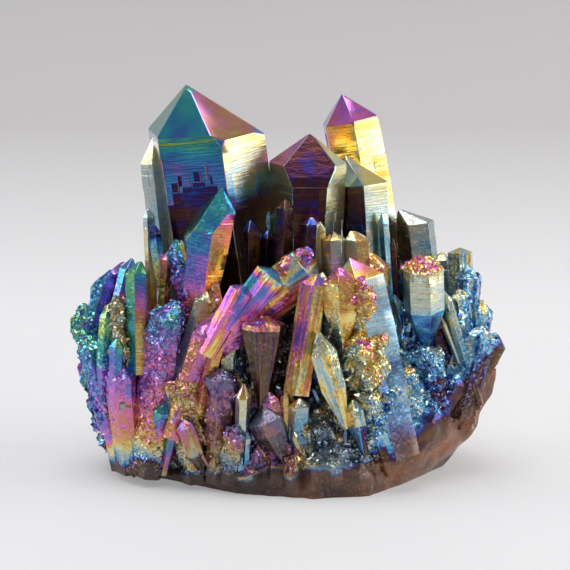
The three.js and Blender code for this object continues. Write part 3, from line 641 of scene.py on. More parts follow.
def tier_form(tier, place, number):
    step = (place + roll_round(0.5, TIER_STEP_VARIATION)) / tier["count"]
    angle = math.radians(TIER_FIRST_ANGLE + step * (TIER_LAST_ANGLE - TIER_FIRST_ANGLE))
    out_x, out_y = math.cos(angle), math.sin(angle)
    lean = math.radians(roll_round(tier["lean"], TIER_LEAN_VARIATION))
    height = roll_dice(*tier["height"])
    width = roll_dice(*tier["width"])
    set_back = SUNK * math.sin(lean)
    root = (
        (tier["oval"] * TIER_HALF_LENGTH - set_back) * out_x,
        (tier["oval"] * TIER_HALF_DEPTH - set_back) * out_y,
        tier["root"],
    )
    overhang = height * math.tan(lean)
    tip_x = root[0] + overhang * out_x + roll_round(0, TIER_TIP_VARIATION)
    tip_y = root[1] + overhang * out_y + roll_round(0, TIER_TIP_VARIATION)
    shift = (roll_round(0, TIER_SHIFT_VARIATION), roll_round(0, TIER_SHIFT_VARIATION))
    options = dict(roll=roll_dice(0, 360 / PRISM_FACES), shift=shift, sunk=tier["sunk"])
    return crystal_form(f"tier_{number}", (tip_x, tip_y, tier["root"] + height), root, width, options)


def used_corners(body):
    used = {corner for _, face in body[1] for corner in face}
    return [body[0][corner] for corner in used]


# ---- The surface of a crystal: worn edges, growth steps and the film on each face ----

# An edge is worn back by a part of the width, between the least and the most, times a share of its own.
# Edges between faces that are nearly in line stay as they are.
WEAR_OVER_WIDTH = 0.0025
WEAR_LEAST = 0.014
WEAR_MOST = 0.045
WEAR_SHARE = (0.5, 1.4)
FLATTEST_EDGE = math.radians(14)

# The tip is broken off at a slant. Some corners are knocked off, down to so many heights of the point.
BROKEN_SHARE = (0.04, 0.2)
BROKEN_TILT = (0.1, 0.7)
BROKEN_UP_TO_WIDTH = 9
KNOCKED_SHARE = 0.45
KNOCKED_OVER_WIDTH = (0.004, 0.02)
KNOCKED_DOWN_TO = 1.5

# Growth steps ring the prism. Each goes in or out by part of the deepest step, over part of each face.
RING_GAP = 2.1
RING_PLACE = (0.15, 0.85)
STEPS_FROM_ENDS = 0.5
STEP_HALF = 0.05
STEP_MOST = 0.25
STEP_OVER_WIDTH = 0.022
STEP_FIRST = (0.3, 1)
STEP_COVER = (-0.4, 1.2)
STEP_EDGE_OFTEN = 0.9
STEP_EDGE_REACH = 1.3
STEP_LATEST_PHASE = 6.28

# Slow waves along and across each face, beside the deepest step.
WAVE_SHARE = 0.35
WAVE_ALONG = 0.55
WAVE_ACROSS = 0.6
DEEPEST_SHARE = 1.3

# Only points this near to a face's plane are moved with the face, and a point this near to a cut is on it.
# The faces of wide crystals are cut into columns, so that a step can fade out across a face.
FACE_NEAR = 0.25
CUT_NEAR = 1e-4
COLUMN_GAP = 2.2
COLUMNS_FROM_WIDTH = 4.2

# How the film differs from face to face, towards the right, at the top of a point and at a heel's foot.
# On a point it runs over a little more than the point's height.
FACE_FILM_VARIATION = 0.05
POINT_FILM_VARIATION = 0.05
FACE_FILM_TO_RIGHT = -0.03
POINT_TOP_FILM = 0.02
HEEL_FOOT_FILM = -0.04
POINT_FILM_REACH = 1.2

# Growth lines come less often down a point than down a prism, by this share. Each crystal reads its own
# stretch of them.
POINT_LINES = 0.2
GRAIN_APART = 7

# Blocks that stand out of a prism's faces or lie back in them.
RELIEF_FROM_WIDTH = 3.8
RELIEFS_ON_FACE = 2
RELIEF_EDGE = 0.07
RELIEF_OVER_WIDTH = 0.022
RELIEF_MOST = 0.3
RELIEF_WIDE = (0.12, 0.5)
RELIEF_LONG = (0.06, 0.3)
RELIEF_FROM_MIDDLE = 0.25
RELIEF_FROM_TIP = 0.8
RELIEF_LEVELS = (-1, -0.6, 0.6, 1)
RELIEF_SHARE = (0.5, 1)
RELIEF_FILM = 0.05
RELIEF_MARGIN = 0.001
RELIEF_SLAB = 0.01

# The rough skin of fine crystals: the grid it is made on, and two sizes of crystals with their heights.
SKIN_GAP = 0.5
SKIN_CELLS = ((1.15, 0.22), (0.62, 0.13))
SKIN_FILM = 0.05
SKIN_LOWER = 0.3

# The thickest crusts also swell and sink more broadly, by this height over this size.
CRUST_FROM = 2
CRUST_HEIGHT = 1.3
CRUST_SIZE = 2.2


def cut_edges(form, body, flats, chance):
    """Cuts each edge back by a narrow flat, which takes the colour of the two faces beside it."""
    wear = min(max(form["width"] * WEAR_OVER_WIDTH, WEAR_LEAST), WEAR_MOST)
    beside = {}
    for tag, face in body[1]:
        for a, b in zip(face, face[1:] + face[:1]):
            beside.setdefault((min(a, b), max(a, b)), []).append(tag)
    corners = body[0]
    for number, ((a, b), tags) in enumerate(sorted(beside.items())):
        normals = [form["planes"][tag][0] for tag in tags]
        too_flat = normals[0].angle(normals[1]) < FLATTEST_EDGE
        if BASE in tags or too_flat:
            continue
        normal = (normals[0] + normals[1]).normalized()
        middle = (corners[a] + corners[b]) / 2
        depth = wear * chance.uniform(*WEAR_SHARE)
        flats[CHAMFER + number] = tags
        body = cut_body(body, (normal, normal.dot(middle) - depth), CHAMFER + number)
    return body


def knock_corners(form, body, chance):
    """Breaks the tip at a slant, and knocks off some of the corners under the point."""
    sides = form["sides"]
    if form["width"] < BROKEN_UP_TO_WIDTH:
        tilt = sides[chance.randrange(PRISM_FACES)] * chance.uniform(*BROKEN_TILT)
        normal = (form["axis"] + tilt).normalized()
        highest = max(normal.dot(corner) for corner in used_corners(body))
        depth = form["point"] * chance.uniform(*BROKEN_SHARE)
        body = cut_body(body, (normal, highest - depth), BROKEN)
        form["planes"][BROKEN] = (normal, highest - depth)
    corners, faces = body
    shoulder = form["root"].dot(form["axis"]) + form["length"] - KNOCKED_DOWN_TO * form["point"]
    around = {}
    for tag, face in faces:
        for corner in face:
            around.setdefault(corner, []).append(tag)
    for number, (corner, tags) in enumerate(sorted(around.items())):
        place = corners[corner]
        if place.dot(form["axis"]) < shoulder or chance.random() > KNOCKED_SHARE:
            continue
        normal = sum((form["planes"][tag][0] for tag in tags), Vector()).normalized()
        depth = form["width"] * chance.uniform(*KNOCKED_OVER_WIDTH)
        form["planes"][KNOCKED + number] = (normal, normal.dot(place) - depth)
        body = cut_body(body, form["planes"][KNOCKED + number], KNOCKED + number)
    return body


def worn_body(form, chance):
    """The body with broken corners and worn edges, and the faces beside each worn edge."""
    flats = {}
    body = knock_corners(form, form["body"], chance)
    return cut_edges(form, body, flats, chance), flats


def mesh_of_body(body):
    corners, faces = body
    mesh = bmesh.new()
    side = mesh.faces.layers.int.new("side")
    made = {}
    for tag, face in faces:
        for corner in face:
            if corner not in made:
                made[corner] = mesh.verts.new(corners[corner])
        mesh.faces.new([made[corner] for corner in face])[side] = tag
    return mesh, side


def slice_mesh(mesh, parts, place, normal):
    bmesh.ops.bisect_plane(mesh, geom=parts, dist=CUT_NEAR, plane_co=place, plane_no=normal)


def slice_rings(mesh, form, places):
    top = form["root"] + form["axis"] * form["length"]
    for place in places:
        everything = mesh.verts[:] + mesh.edges[:] + mesh.faces[:]
        slice_mesh(mesh, everything, top - form["axis"] * place, form["axis"])


def slice_part(mesh, faces, place, normal):
    edges = list({edge for face in faces for edge in face.edges})
    verts = list({vert for face in faces for vert in face.verts})
    slice_mesh(mesh, verts + edges + faces, place, normal)


def slice_columns(mesh, side, form, gap):
    """Cuts along the axis on each face by itself, so that a growth step can fade out across a face."""
    for k in range(PRISM_FACES):
        across = form["axis"].cross(form["sides"][k])
        for tag in (PRISM + k, POINT + k):
            faces = [face for face in mesh.faces if face[side] == tag]
            if not faces:
                continue
            reaches = [vert.co.dot(across) for face in faces for vert in face.verts]
            low, high = min(reaches), max(reaches)
            count = int((high - low) / gap)
            for i in range(1, count + 1):
                faces = [face for face in mesh.faces if face[side] == tag]
                slice_part(mesh, faces, across * (low + (high - low) * i / (count + 1)), across)


def face_reliefs(form, chance):
    """Blocks on the prism's faces, in the order that FACE_RELIEFS gives them."""
    if form["width"] < RELIEF_FROM_WIDTH or form["skin"]:
        return []
    reliefs = list(FACE_RELIEFS.get(form["name"], []))
    authored = {relief[0] for relief in reliefs}
    highest = min(RELIEF_OVER_WIDTH * form["width"], RELIEF_MOST)
    half = form["width"] * RELIEF_FROM_MIDDLE
    top, foot = form["point"] * RELIEF_FROM_TIP, form["length"]
    for k in range(PRISM_FACES):
        if k in authored:
            continue
        for _ in range(RELIEFS_ON_FACE):
            wide = form["width"] * chance.uniform(*RELIEF_WIDE)
            middle = chance.uniform(-half, half)
            long = form["length"] * chance.uniform(*RELIEF_LONG)
            start = chance.uniform(top, foot - long)
            height = highest * chance.choice(RELIEF_LEVELS) * chance.uniform(*RELIEF_SHARE)
            shift = chance.uniform(-RELIEF_FILM, RELIEF_FILM)
            reliefs.append((k, middle - wide / 2, middle + wide / 2, start, start + long, height, shift))
    return reliefs


def across_face(form, k):
    """The direction across a face, and where the middle of the face lies along it."""
    across = form["axis"].cross(form["sides"][k])
    return across, form["root"].dot(across)


def slice_reliefs(mesh, side, form, reliefs):
    top = form["root"] + form["axis"] * form["length"]
    for k, low, high, start, end, _, _ in reliefs:
        across, middle = across_face(form, k)
        tag = PRISM + k

        def part(first, last):
            kept = []
            for face in mesh.faces:
                if face[side] != tag:
                    continue
                downs = [(top - vert.co).dot(form["axis"]) for vert in face.verts]
                if max(downs) > first + RELIEF_MARGIN and min(downs) < last - RELIEF_MARGIN:
                    kept.append(face)
            return kept

        for down in (start, start + RELIEF_EDGE, end - RELIEF_EDGE, end):
            faces = part(down - RELIEF_SLAB, down + RELIEF_SLAB)
            slice_part(mesh, faces, top - form["axis"] * down, form["axis"])
        for over in (low, low + RELIEF_EDGE, high - RELIEF_EDGE, high):
            slice_part(mesh, part(start, end), across * (middle + over), across)


def growth_steps(form, chance):
    """Places of the growth steps along the prism, and for each face how far each step goes in."""
    start, end = form["point"] + STEPS_FROM_ENDS, form["length"] - STEPS_FROM_ENDS
    count = max(1, int((end - start) / RING_GAP))
    places = [start + (end - start) * (i + chance.uniform(*RING_PLACE)) / count for i in range(count)]
    deepest = min(STEP_MOST, STEP_OVER_WIDTH * form["width"])
    steps = []
    for _ in range(PRISM_FACES):
        level = deepest * chance.uniform(*STEP_FIRST)
        face_steps = []
        for _ in places:
            wanted = chance.choice((level, level, chance.uniform(0, deepest)))
            phase = chance.uniform(0, STEP_LATEST_PHASE)
            face_steps.append((wanted - level, phase, chance.uniform(*STEP_COVER)))
            level = wanted
        steps.append((deepest, face_steps))
    return places, steps


def move_faces(points, form, places, steps, reliefs):
    """Moves the points of the mesh by the growth steps, the slow waves and the reliefs of each face."""
    axis = np.array(form["axis"])
    top = np.array(form["root"] + form["axis"] * form["length"])
    along = (top - points) @ axis
    for k in range(PRISM_FACES):
        normal, reach = form["planes"][PRISM + k]
        normal = np.array(normal)
        nearness = np.clip(1 - np.abs(points @ normal - reach) / FACE_NEAR, 0, 1)
        across = points @ np.cross(axis, normal)
        deepest, face_steps = steps[k]
        depth = np.full(len(points), deepest / 2)
        for place, (height, phase, cover) in zip(places, face_steps):
            ramp = np.clip((along - place) / (2 * STEP_HALF) + 0.5, 0, 1)
            edge = np.sin(across * STEP_EDGE_OFTEN + phase) * STEP_EDGE_REACH
            depth += height * ramp * np.clip(cover + edge + 0.5, 0, 1)
        wave = WAVE_SHARE * deepest * np.sin(along * WAVE_ALONG + k) * np.sin(across * WAVE_ACROSS + 2 * k)
        depth = np.clip(depth + wave, 0, DEEPEST_SHARE * deepest)
        across -= float(form["root"].dot(Vector(np.cross(axis, normal))))
        for face, low, high, start, end, height, _ in reliefs:
            if face == k:
                inside = edge_ramp(across, low, high) * edge_ramp(along, start, end)
                depth = depth - inside * height
        points = points - (nearness * depth)[:, None] * normal
    return points


def edge_ramp(values, low, high):
    """1 between low and high, and down to 0 over the width of a relief's edge."""
    return np.clip((values - low) / RELIEF_EDGE, 0, 1) * np.clip((high - values) / RELIEF_EDGE, 0, 1)


def skin_push(points, amounts):
    """How far fine crystals lift each point of a skin, in millimetres, and their change of the film."""
    push = np.zeros(len(points))
    tone = np.zeros(len(points))
    for i in np.flatnonzero(amounts > 0):
        place = Vector(points[i])
        for size, height in SKIN_CELLS:
            gaps, middles = noise.voronoi(place / size)
            turn = noise.cell_vector(middles[0]) * 2 - Vector((1, 1, 1))
            tilt = turn.dot(place / size - middles[0])
            push[i] += amounts[i] * height * (tilt + gaps[1] - gaps[0] - SKIN_LOWER)
            tone[i] += amounts[i] * SKIN_FILM * turn.x
        push[i] += amounts[i] ** CRUST_FROM * CRUST_HEIGHT * noise.noise(place / CRUST_SIZE)
    return push, tone


def curve_value(stops, share):
    return np.interp(share, np.linspace(0, 1, len(stops)), stops)


def face_films(form, chance):
    """For each face, the film thickness from its top to its foot."""
    tip_film, root_film = form["film"]
    own = FACE_FILMS.get(form["name"], {})
    films = {BASE: (root_film, root_film)}
    for tag in form["planes"]:
        if tag >= BROKEN:
            films[tag] = (tip_film, root_film)
    for k in range(PRISM_FACES):
        turn = FACE_FILM_TO_RIGHT * form["sides"][k].x
        turn += chance.uniform(-FACE_FILM_VARIATION, FACE_FILM_VARIATION)
        films[PRISM + k] = own.get("prism", {}).get(k, (tip_film + turn, root_film + turn))
        turn += chance.uniform(-POINT_FILM_VARIATION, POINT_FILM_VARIATION)
        films[POINT + k] = own.get("point", {}).get(k, (tip_film + turn + POINT_TOP_FILM, tip_film + turn))
        foot = films[PRISM + k][-1]
        films[HEEL + k] = own.get("heel", {}).get(k, (foot, foot + HEEL_FOOT_FILM))
    return films


def film_at(films, tag, along, form):
    """The film's thickness on a face, at these distances down from the tip."""
    if POINT <= tag < HEEL:
        share = along / (POINT_FILM_REACH * form["point"])
    else:
        share = (along - form["point"]) / (form["length"] - form["point"])
    return curve_value(films[tag], np.clip(share, 0, 1))


def face_of(tag):
    return (tag - PRISM) % (POINT - PRISM) if PRISM <= tag < BROKEN else 0


def druse_at(form, along):
    """How thickly fine crystals cover the crystal, down its length."""
    return curve_value(form["druse"], np.clip(along / form["length"], 0, 1))


def paint_crystal(mesh, form, films, flats, reliefs, tone, number):
    """Gives each corner of each face its film, its place on the face, its wear and its druse."""
    loops = len(mesh.loops)
    vertex = corner_points(mesh)
    points = read_points(mesh)[vertex]
    sides = corner_sides(mesh)

    axis = np.array(form["axis"])
    top = np.array(form["root"] + form["axis"] * form["length"])
    along = (top - points) @ axis
    film = np.zeros(loops)
    grain = np.zeros((loops, 3))
    wear = np.zeros(loops)
    dust = np.full(loops, float(form["dull"]))
    dusty = FACE_FILMS.get(form["name"], {}).get("dust", {})
    for tag in np.unique(sides):
        here = sides == tag
        beside = flats.get(tag, (tag,))
        k = face_of(beside[0])
        film[here] = np.mean([film_at(films, t, along[here], form) for t in beside], axis=0)
        across = np.cross(axis, np.array(form["sides"][k % PRISM_FACES]))
        over = points[here] @ across - np.array(form["root"]) @ across
        # Each relief changes the film over its block: on giant_left's pits and lower front this is painted
        # shade.
        for face, low, high, start, end, _, shift in reliefs:
            if tag == PRISM + face:
                film[here] += shift * edge_ramp(over, low, high) * edge_ramp(along[here], start, end)
        on_face = points[here] @ across, along[here] * (1 if beside[0] < POINT else POINT_LINES)
        grain[here, :2] = np.transpose(on_face[::-1] if form["streaked"] else on_face)
        grain[here, 2] = number * GRAIN_APART + k
        wear[here] = float(tag in flats)
        dust[here] += dusty.get(tag, 0)
    write_floats(mesh, "film", "CORNER", film + tone[vertex])
    write_floats(mesh, "wear", "CORNER", wear)
    write_floats(mesh, "druse", "CORNER", druse_at(form, along))
    write_floats(mesh, "stone", "CORNER", np.zeros(loops))
    write_floats(mesh, "dull", "CORNER", dust)
    write_floats(mesh, "streak", "CORNER", np.full(loops, float(form["streaked"])))
    write_vectors(mesh, "grain", "CORNER", grain)


def corner_points(mesh):
    """For each corner of each face, the number of its point."""
    vertex = np.empty(len(mesh.loops), int)
    mesh.loops.foreach_get("vertex_index", vertex)
    return vertex


def corner_sides(mesh):
    """For each corner of each face, the tag of the face."""
    sides = np.empty(len(mesh.polygons), int)
    mesh.attributes["side"].data.foreach_get("value", sides)
    return np.repeat(sides, corner_counts(mesh))


def corner_counts(mesh):
    totals = np.empty(len(mesh.polygons), int)
    mesh.polygons.foreach_get("loop_total", totals)
    return totals


def read_floats(mesh, name):
    values = np.empty(len(mesh.attributes[name].data))
    mesh.attributes[name].data.foreach_get("value", values)
    return values


def write_floats(mesh, name, domain, values):
    attribute = mesh.attributes.new(name, "FLOAT", domain)
    attribute.data.foreach_set("value", np.asarray(values, np.float32))


def write_vectors(mesh, name, domain, values):
    attribute = mesh.attributes.new(name, "FLOAT_VECTOR", domain)
    attribute.data.foreach_set("vector", np.asarray(values, np.float32).ravel())


def crystal_object(form, number, collection):
    chance = random.Random(number)
    body, flats = worn_body(form, chance)
    mesh, side = mesh_of_body(body)
    places, steps = growth_steps(form, chance)
    reliefs = face_reliefs(form, chance)
    slice_rings(mesh, form, [p + shift for p in places for shift in (-STEP_HALF, STEP_HALF)])
    if form["skin"]:
        reach = form["length"] + form["sunk"]
        slice_rings(mesh, form, np.arange(SKIN_GAP, reach, SKIN_GAP))
        slice_columns(mesh, side, form, SKIN_GAP)
    elif form["width"] > COLUMNS_FROM_WIDTH:
        slice_columns(mesh, side, form, COLUMN_GAP)
    slice_reliefs(mesh, side, form, reliefs)
    bmesh.ops.triangulate(mesh, faces=mesh.faces[:])
    data = bpy.data.meshes.new(form["name"])
    mesh.to_mesh(data)
    mesh.free()

    points = move_faces(read_points(data), form, places, steps, reliefs)
    top = np.array(form["root"] + form["axis"] * form["length"])
    amounts = druse_at(form, (top - points) @ np.array(form["axis"])) * form["skin"]
    if form["skin"]:
        amounts = amounts * shares_at(points, BARE_FADE)
    push, tone = skin_push(points, amounts)
    points = points + read_normals(data) * push[:, None]
    data.vertices.foreach_set("co", points.ravel())
    paint_crystal(data, form, face_films(form, chance), flats, reliefs, tone, number)
    piece = bpy.data.objects.new(form["name"], data)
    collection.objects.link(piece)
    return piece


def read_points(mesh):
    points = np.empty(len(mesh.vertices) * 3)
    mesh.vertices.foreach_get("co", points)
    return points.reshape(-1, 3)


def read_normals(mesh):
    normals = np.empty(len(mesh.vertices) * 3, np.float32)
    mesh.vertex_normals.foreach_get("vector", normals)
    return normals.reshape(-1, 3)


# ---- The zones of colour on the lump and on the fine crystals: x, z, reach and film ----

COLOUR_ZONES = {
    "left_edge": (-36, 24, 5, 0.78),
    "left_shoulder": (-33, 32, 5, 0.67),
    "left_hollow": (-29, 28, 4, 0.42),
    "left_foot": (-30, 13, 6, 0.57),
    "left_bottom": (-29, 4, 4, 0.2),
    "rose_slope": (-23, 17, 5, 0.58),
    "gold_knob": (-17, 13, 4, 0.47),
    "violet_foot": (-12, 7, 5, 0.63),
    "left_valley": (-15, 32, 5, 0.44),
    "plum_middle": (-4, 8, 4, 0.62),
    # A thin, dark film in the valley and the gap between the crystals: partly a thinner coating, partly
    # painted shade.
    "dark_valley": (-6, 38, 6, 0.08),
    "black_gap": (1, 22, 4, 0.06),
    "dark_foot": (6, 6, 4, 0.29),
    "gold_heart": (12, 21, 5, 0.40),
    "snow_foot": (15, 11, 4, 0.3),
    "blue_hollow": (22, 14, 5, 0.23),
    "blue_pocket": (26, 22, 5, 0.22),
    "steel_edge": (33, 27, 6, 0.26),
    "right_foot": (30, 14, 5, 0.16),
    "right_valley": (20, 34, 6, 0.17),
}
EVEN_FILM = 0.3
EVEN_WEIGHT = 1e-6

# Behind this depth the film grows thicker, over this distance and by this much.
BACK_FROM = 2
BACK_REACH = 10
BACK_FILM_SHIFT = 0.16

# The bare stone reaches up to these heights, from left to right.
BARE_X = (-37, -33, -25, 0, 20, 27, 31, 34, 38)
BARE_Z = (0.5, 1.5, 1.8, 3.5, 4.5, 7.5, 12, 17, 19)
BARE_FADE = 1.2

# The film's lower edge wanders up and down by these heights, this often in a millimetre.
EDGE_WANDER = ((2.5, 0.35), (0.8, 1.3))

# From left to right, how far above the bare stone the film reaches its full thickness.
THIN_X = (-26, -16, 8, 16, 30)
THIN_FADE = (5, 2, 2, 5, 9)

# Above the bare stone the broken face stays smooth up to these heights more, from left to right, and then
# turns rough late and quickly. Chips grow deeper up to a height of their own.
SMOOTH_X = (-10, 12, 24)
SMOOTH_FADE = (1.5, 3, 9)
ROUGH_STEEPNESS = 2.5
ROUGH_LATE = 1.5
CHIP_FADE = 6

# The foot is rough and grooved at the left and smoother at the right, and dust greys its middle.
FOOT_ROUGH_X = (6, 18)
FOOT_ROUGH = (0.5, 0)
FOOT_GROOVED = (2.2, 0.4)
DULL_X = (-24, -14, 10, 20)
DULL = (0.1, 0.55, 0.5, 0.1)


def zone_film(points):
    """The film's thickness at each point, from the zones round it."""
    weights = np.full(len(points), EVEN_WEIGHT)
    total = np.full(len(points), EVEN_WEIGHT * EVEN_FILM)
    for x, z, reach, film in COLOUR_ZONES.values():
        away = ((points[:, 0] - x) ** 2 + (points[:, 2] - z) ** 2) / reach**2
        weight = np.exp(-away)
        weights += weight
        total += weight * film
    back = np.clip((points[:, 1] - BACK_FROM) / BACK_REACH, 0, 1)
    return total / weights + BACK_FILM_SHIFT * back


def coat_share(place, fade):
    """How far the film covers the stone, from 0 at its edge to 1 where it is a fade's height above it."""
    above = place.z - np.interp(place.x, BARE_X, BARE_Z)
    for height, often in EDGE_WANDER:
        above += height * noise.noise(place * often)
    return min(1, max(0, above / fade))


def shares_at(points, fade):
    fades = np.broadcast_to(fade, len(points))
    return np.array([coat_share(Vector(point), reach) for point, reach in zip(points, fades)])


def rough_shares(points):
    """How rough the stone is: 0 on the smooth broken face by the foot, 1 where fine crystals grow."""
    shares = shares_at(points, np.interp(points[:, 0], SMOOTH_X, SMOOTH_FADE))
    return np.clip(ROUGH_STEEPNESS * shares - ROUGH_LATE, 0, 1)


# The lump swells broadly and is chipped and grooved: how far, and how often in a millimetre.
SWELL_HEIGHT = 1.1
SWELL_OFTEN = 0.11
SWELL_FRACTAL = (1.0, 2.0, 3)
CHIP_HEIGHT = 0.9
CHIP_OFTEN = 0.42
GROOVES_OFTEN = (0.5, 0.5, 0.1)

# Near the ground it moves less, from this share, and its flat base stays flat.
GROUND_SHARE = 0.25
GROUND_REACH = 6
GROUND_NEAR = 1e-4
BASE_FLATNESS = 0.95
LUMP_DRUSE = 0.8
LUMP_GRAIN = (0, 0, 3)


def lump_mesh():
    """The lump between its rings, cut finely."""
    mesh = bmesh.new()
    rings = [[(x, y, 0) for x, y in FOOT_RING], WAIST_RING, RIM_RING, BED_RING]
    made = [[mesh.verts.new(place) for place in ring] for ring in rings]
    middle = mesh.verts.new(BED_MIDDLE)
    count = len(FOOT_RING)
    mesh.faces.new(made[0][::-1])
    for low, high in zip(made, made[1:]):
        for i in range(count):
            j = (i + 1) % count
            mesh.faces.new((low[i], low[j], high[j], high[i]))
    for i in range(count):
        mesh.faces.new((made[-1][i], made[-1][(i + 1) % count], middle))
    bmesh.ops.subdivide_edges(mesh, edges=mesh.edges[:], cuts=LUMP_CUTS, use_grid_fill=True)
    mesh.normal_update()
    return mesh


def swell_lump(mesh):
    """Moves the lump's points by its broad swells, its chips and its grooves."""
    for vert in mesh.verts:
        place = vert.co
        on_ground = place.z < GROUND_NEAR
        if on_ground and abs(vert.normal.z) > BASE_FLATNESS:
            continue
        broad = noise.fractal(place * SWELL_OFTEN, *SWELL_FRACTAL)
        chips = noise.voronoi(place * CHIP_OFTEN)[0]
        chipped = coat_share(place, CHIP_FADE)
        push = SWELL_HEIGHT * broad + CHIP_HEIGHT * (chips[1] - chips[0] - 0.5) * chipped
        groove = noise.noise(Vector([reach * often for reach, often in zip(place, GROOVES_OFTEN)]))
        push += np.interp(place.x, FOOT_ROUGH_X, FOOT_GROOVED) * groove
        out = Vector((vert.normal.x, vert.normal.y, 0 if on_ground else vert.normal.z))
        vert.co = place + out * push * min(1, GROUND_SHARE + place.z / GROUND_REACH)


def lump_object(collection):
    mesh = lump_mesh()
    swell_lump(mesh)
    bmesh.ops.triangulate(mesh, faces=mesh.faces[:])
    data = bpy.data.meshes.new("lump")
    mesh.to_mesh(data)
    mesh.free()
    points = read_points(data)
    rough = rough_shares(points)
    broken = np.interp(points[:, 0], FOOT_ROUGH_X, FOOT_ROUGH)
    amounts = np.maximum(rough, broken) * np.clip(points[:, 2], 0, 1)
    push, tone = skin_push(points, amounts)
    points = points + read_normals(data) * push[:, None]
    data.vertices.foreach_set("co", points.ravel())

    vertex = corner_points(data)
    write_floats(data, "film", "CORNER", (zone_film(points) + tone)[vertex])
    write_floats(data, "wear", "CORNER", np.zeros(len(vertex)))
    write_floats(data, "druse", "CORNER", (LUMP_DRUSE * rough)[vertex])
    write_floats(data, "stone", "CORNER", rough[vertex])
    write_floats(data, "dull", "CORNER", np.interp(points[vertex, 0], DULL_X, DULL))
    write_floats(data, "streak", "CORNER", np.zeros(len(vertex)))
    write_vectors(data, "grain", "CORNER", points[vertex] * (1, 1, 0) + np.array(LUMP_GRAIN))
    piece = bpy.data.objects.new("lump", data)
    collection.objects.link(piece)
    return piece


# ---- The cluster: every crystal and the lump joined into one closed surface ----

# How a facet's direction changes the film on a skin of fine crystals.
FILM_TURN = (0.05, -0.03, 0.06)
SHARP_ANGLE = math.radians(18)


def join_solids(base, collection):
    """One mesh from the base and every object of the collection, which are then removed."""
    join = base.modifiers.new("join", "BOOLEAN")
    join.operation = "UNION"
    join.operand_type = "COLLECTION"
    join.collection = collection
    join.solver = "MANIFOLD"
    graph = bpy.context.evaluated_depsgraph_get()
    mesh = bpy.data.meshes.new_from_object(base.evaluated_get(graph))
    base.modifiers.remove(join)
    for piece in [base] + list(collection.objects):
        bpy.data.objects.remove(piece)
    bpy.data.collections.remove(collection)
    return mesh


def all_forms():
    """Every crystal of the solid model, and the zones' film on those that have none of their own."""
    forms = [crystal_form(*row) for row in CRYSTALS]
    for tier in TIERS:
        forms += [tier_form(tier, place, place) for place in range(tier["count"])]
    for form in forms:
        if form["film"] is None:
            ends = np.array([form["root"] + form["axis"] * form["length"], form["root"]])
            form["film"] = tuple(zone_film(ends))
    return forms


def slide_to_cad(forms):
    """How far the cluster slides over the ground to stand where the solid model stands, in millimetres."""
    corners = [corner for form in forms for corner in used_corners(form["body"])]
    corners += [Vector(place).to_3d() for place in FOOT_RING] + [Vector(p) for p in WAIST_RING + RIM_RING]
    low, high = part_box(NODE)
    slide = Vector((0, 0, 0))
    for i in (0, 1):
        reaches = [corner[i] for corner in corners]
        slide[i] = (low[i] + high[i]) / 2 / MM - (min(reaches) + max(reaches)) / 2
    return slide


def to_frame(mesh, slide):
    """Slides a mesh in millimetres to its place, keeps it in the solid model's box, and makes it metres."""
    low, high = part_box(NODE)
    points = (read_points(mesh) + np.array(slide)) * MM
    points = np.clip(points, np.array(low), np.array(high))
    mesh.vertices.foreach_set("co", points.ravel())
    mesh.update()


def thin_film(mesh, shares):
    """Lets the film grow thin towards the bare stone, and turns its colour with the faces of the skin."""
    values = read_floats(mesh, "film")
    druse = read_floats(mesh, "druse")
    normals = np.empty(len(mesh.polygons) * 3, np.float32)
    mesh.polygon_normals.foreach_get("vector", normals)
    turned = np.repeat(normals.reshape(-1, 3) @ np.array(FILM_TURN), corner_counts(mesh))
    film = (values + druse * turned) * shares[corner_points(mesh)]
    mesh.attributes["film"].data.foreach_set("value", film)


forms = all_forms()
SLIDE = slide_to_cad(forms)
forms += [crystal_form(*row) for row in FINE_CRYSTALS]

scratch = bpy.data.collections.new("crystals")
bpy.context.scene.collection.children.link(scratch)
for number, form in enumerate(forms):
    crystal_object(form, number + 1, scratch)
cluster_mesh = join_solids(lump_object(bpy.context.scene.collection), scratch)
cluster_points = read_points(cluster_mesh)
write_floats(cluster_mesh, "coat", "POINT", shares_at(cluster_points, BARE_FADE))
thin_film(cluster_mesh, shares_at(cluster_points, np.interp(cluster_points[:, 0], THIN_X, THIN_FADE)))
to_frame(cluster_mesh, SLIDE)
cluster_mesh.set_sharp_from_angle(angle=SHARP_ANGLE)
cluster = bpy.data.objects.new("aura_cluster", cluster_mesh)
bpy.context.scene.collection.objects.link(cluster)

# ---- Materials ----

# The colour of the film at each thickness, as red, green and blue of 0 to 255.
FILM_COLOURS = [
    (0.00, (68, 68, 48)),
    (0.05, (108, 76, 48)),
    (0.09, (82, 38, 34)),
    (0.12, (62, 30, 62)),
    (0.15, (42, 38, 122)),
    (0.18, (34, 84, 162)),
    (0.22, (70, 146, 198)),
    (0.27, (132, 188, 212)),
    (0.32, (180, 196, 192)),
    (0.36, (212, 212, 178)),
    (0.40, (232, 218, 142)),
    (0.44, (232, 192, 88)),
    (0.48, (222, 156, 92)),
    (0.52, (222, 128, 126)),
    (0.56, (226, 118, 190)),
    (0.60, (184, 112, 206)),
    (0.64, (138, 106, 204)),
    (0.68, (94, 116, 194)),
    (0.72, (60, 126, 190)),
    (0.76, (54, 152, 182)),
    (0.80, (66, 166, 158)),
    (0.84, (102, 174, 120)),
    (0.88, (160, 184, 94)),
    (0.93, (214, 196, 110)),
    (1.00, (220, 134, 178)),
]


# The curve from a display's colours to linear ones: straight up to the knee, and a power from there.
CURVE_KNEE = 0.04045
CURVE_SLOPE = 12.92
CURVE_OFFSET = 0.055
CURVE_POWER = 2.4


def linear(colour):
    """A display colour of 0 to 255 as the renderer's linear one."""
    shares = []
    for value in colour:
        share = value / 255
        if share <= CURVE_KNEE:
            shares.append(share / CURVE_SLOPE)
        else:
            shares.append(((share + CURVE_OFFSET) / (1 + CURVE_OFFSET)) ** CURVE_POWER)
    return (*shares, 1.0)


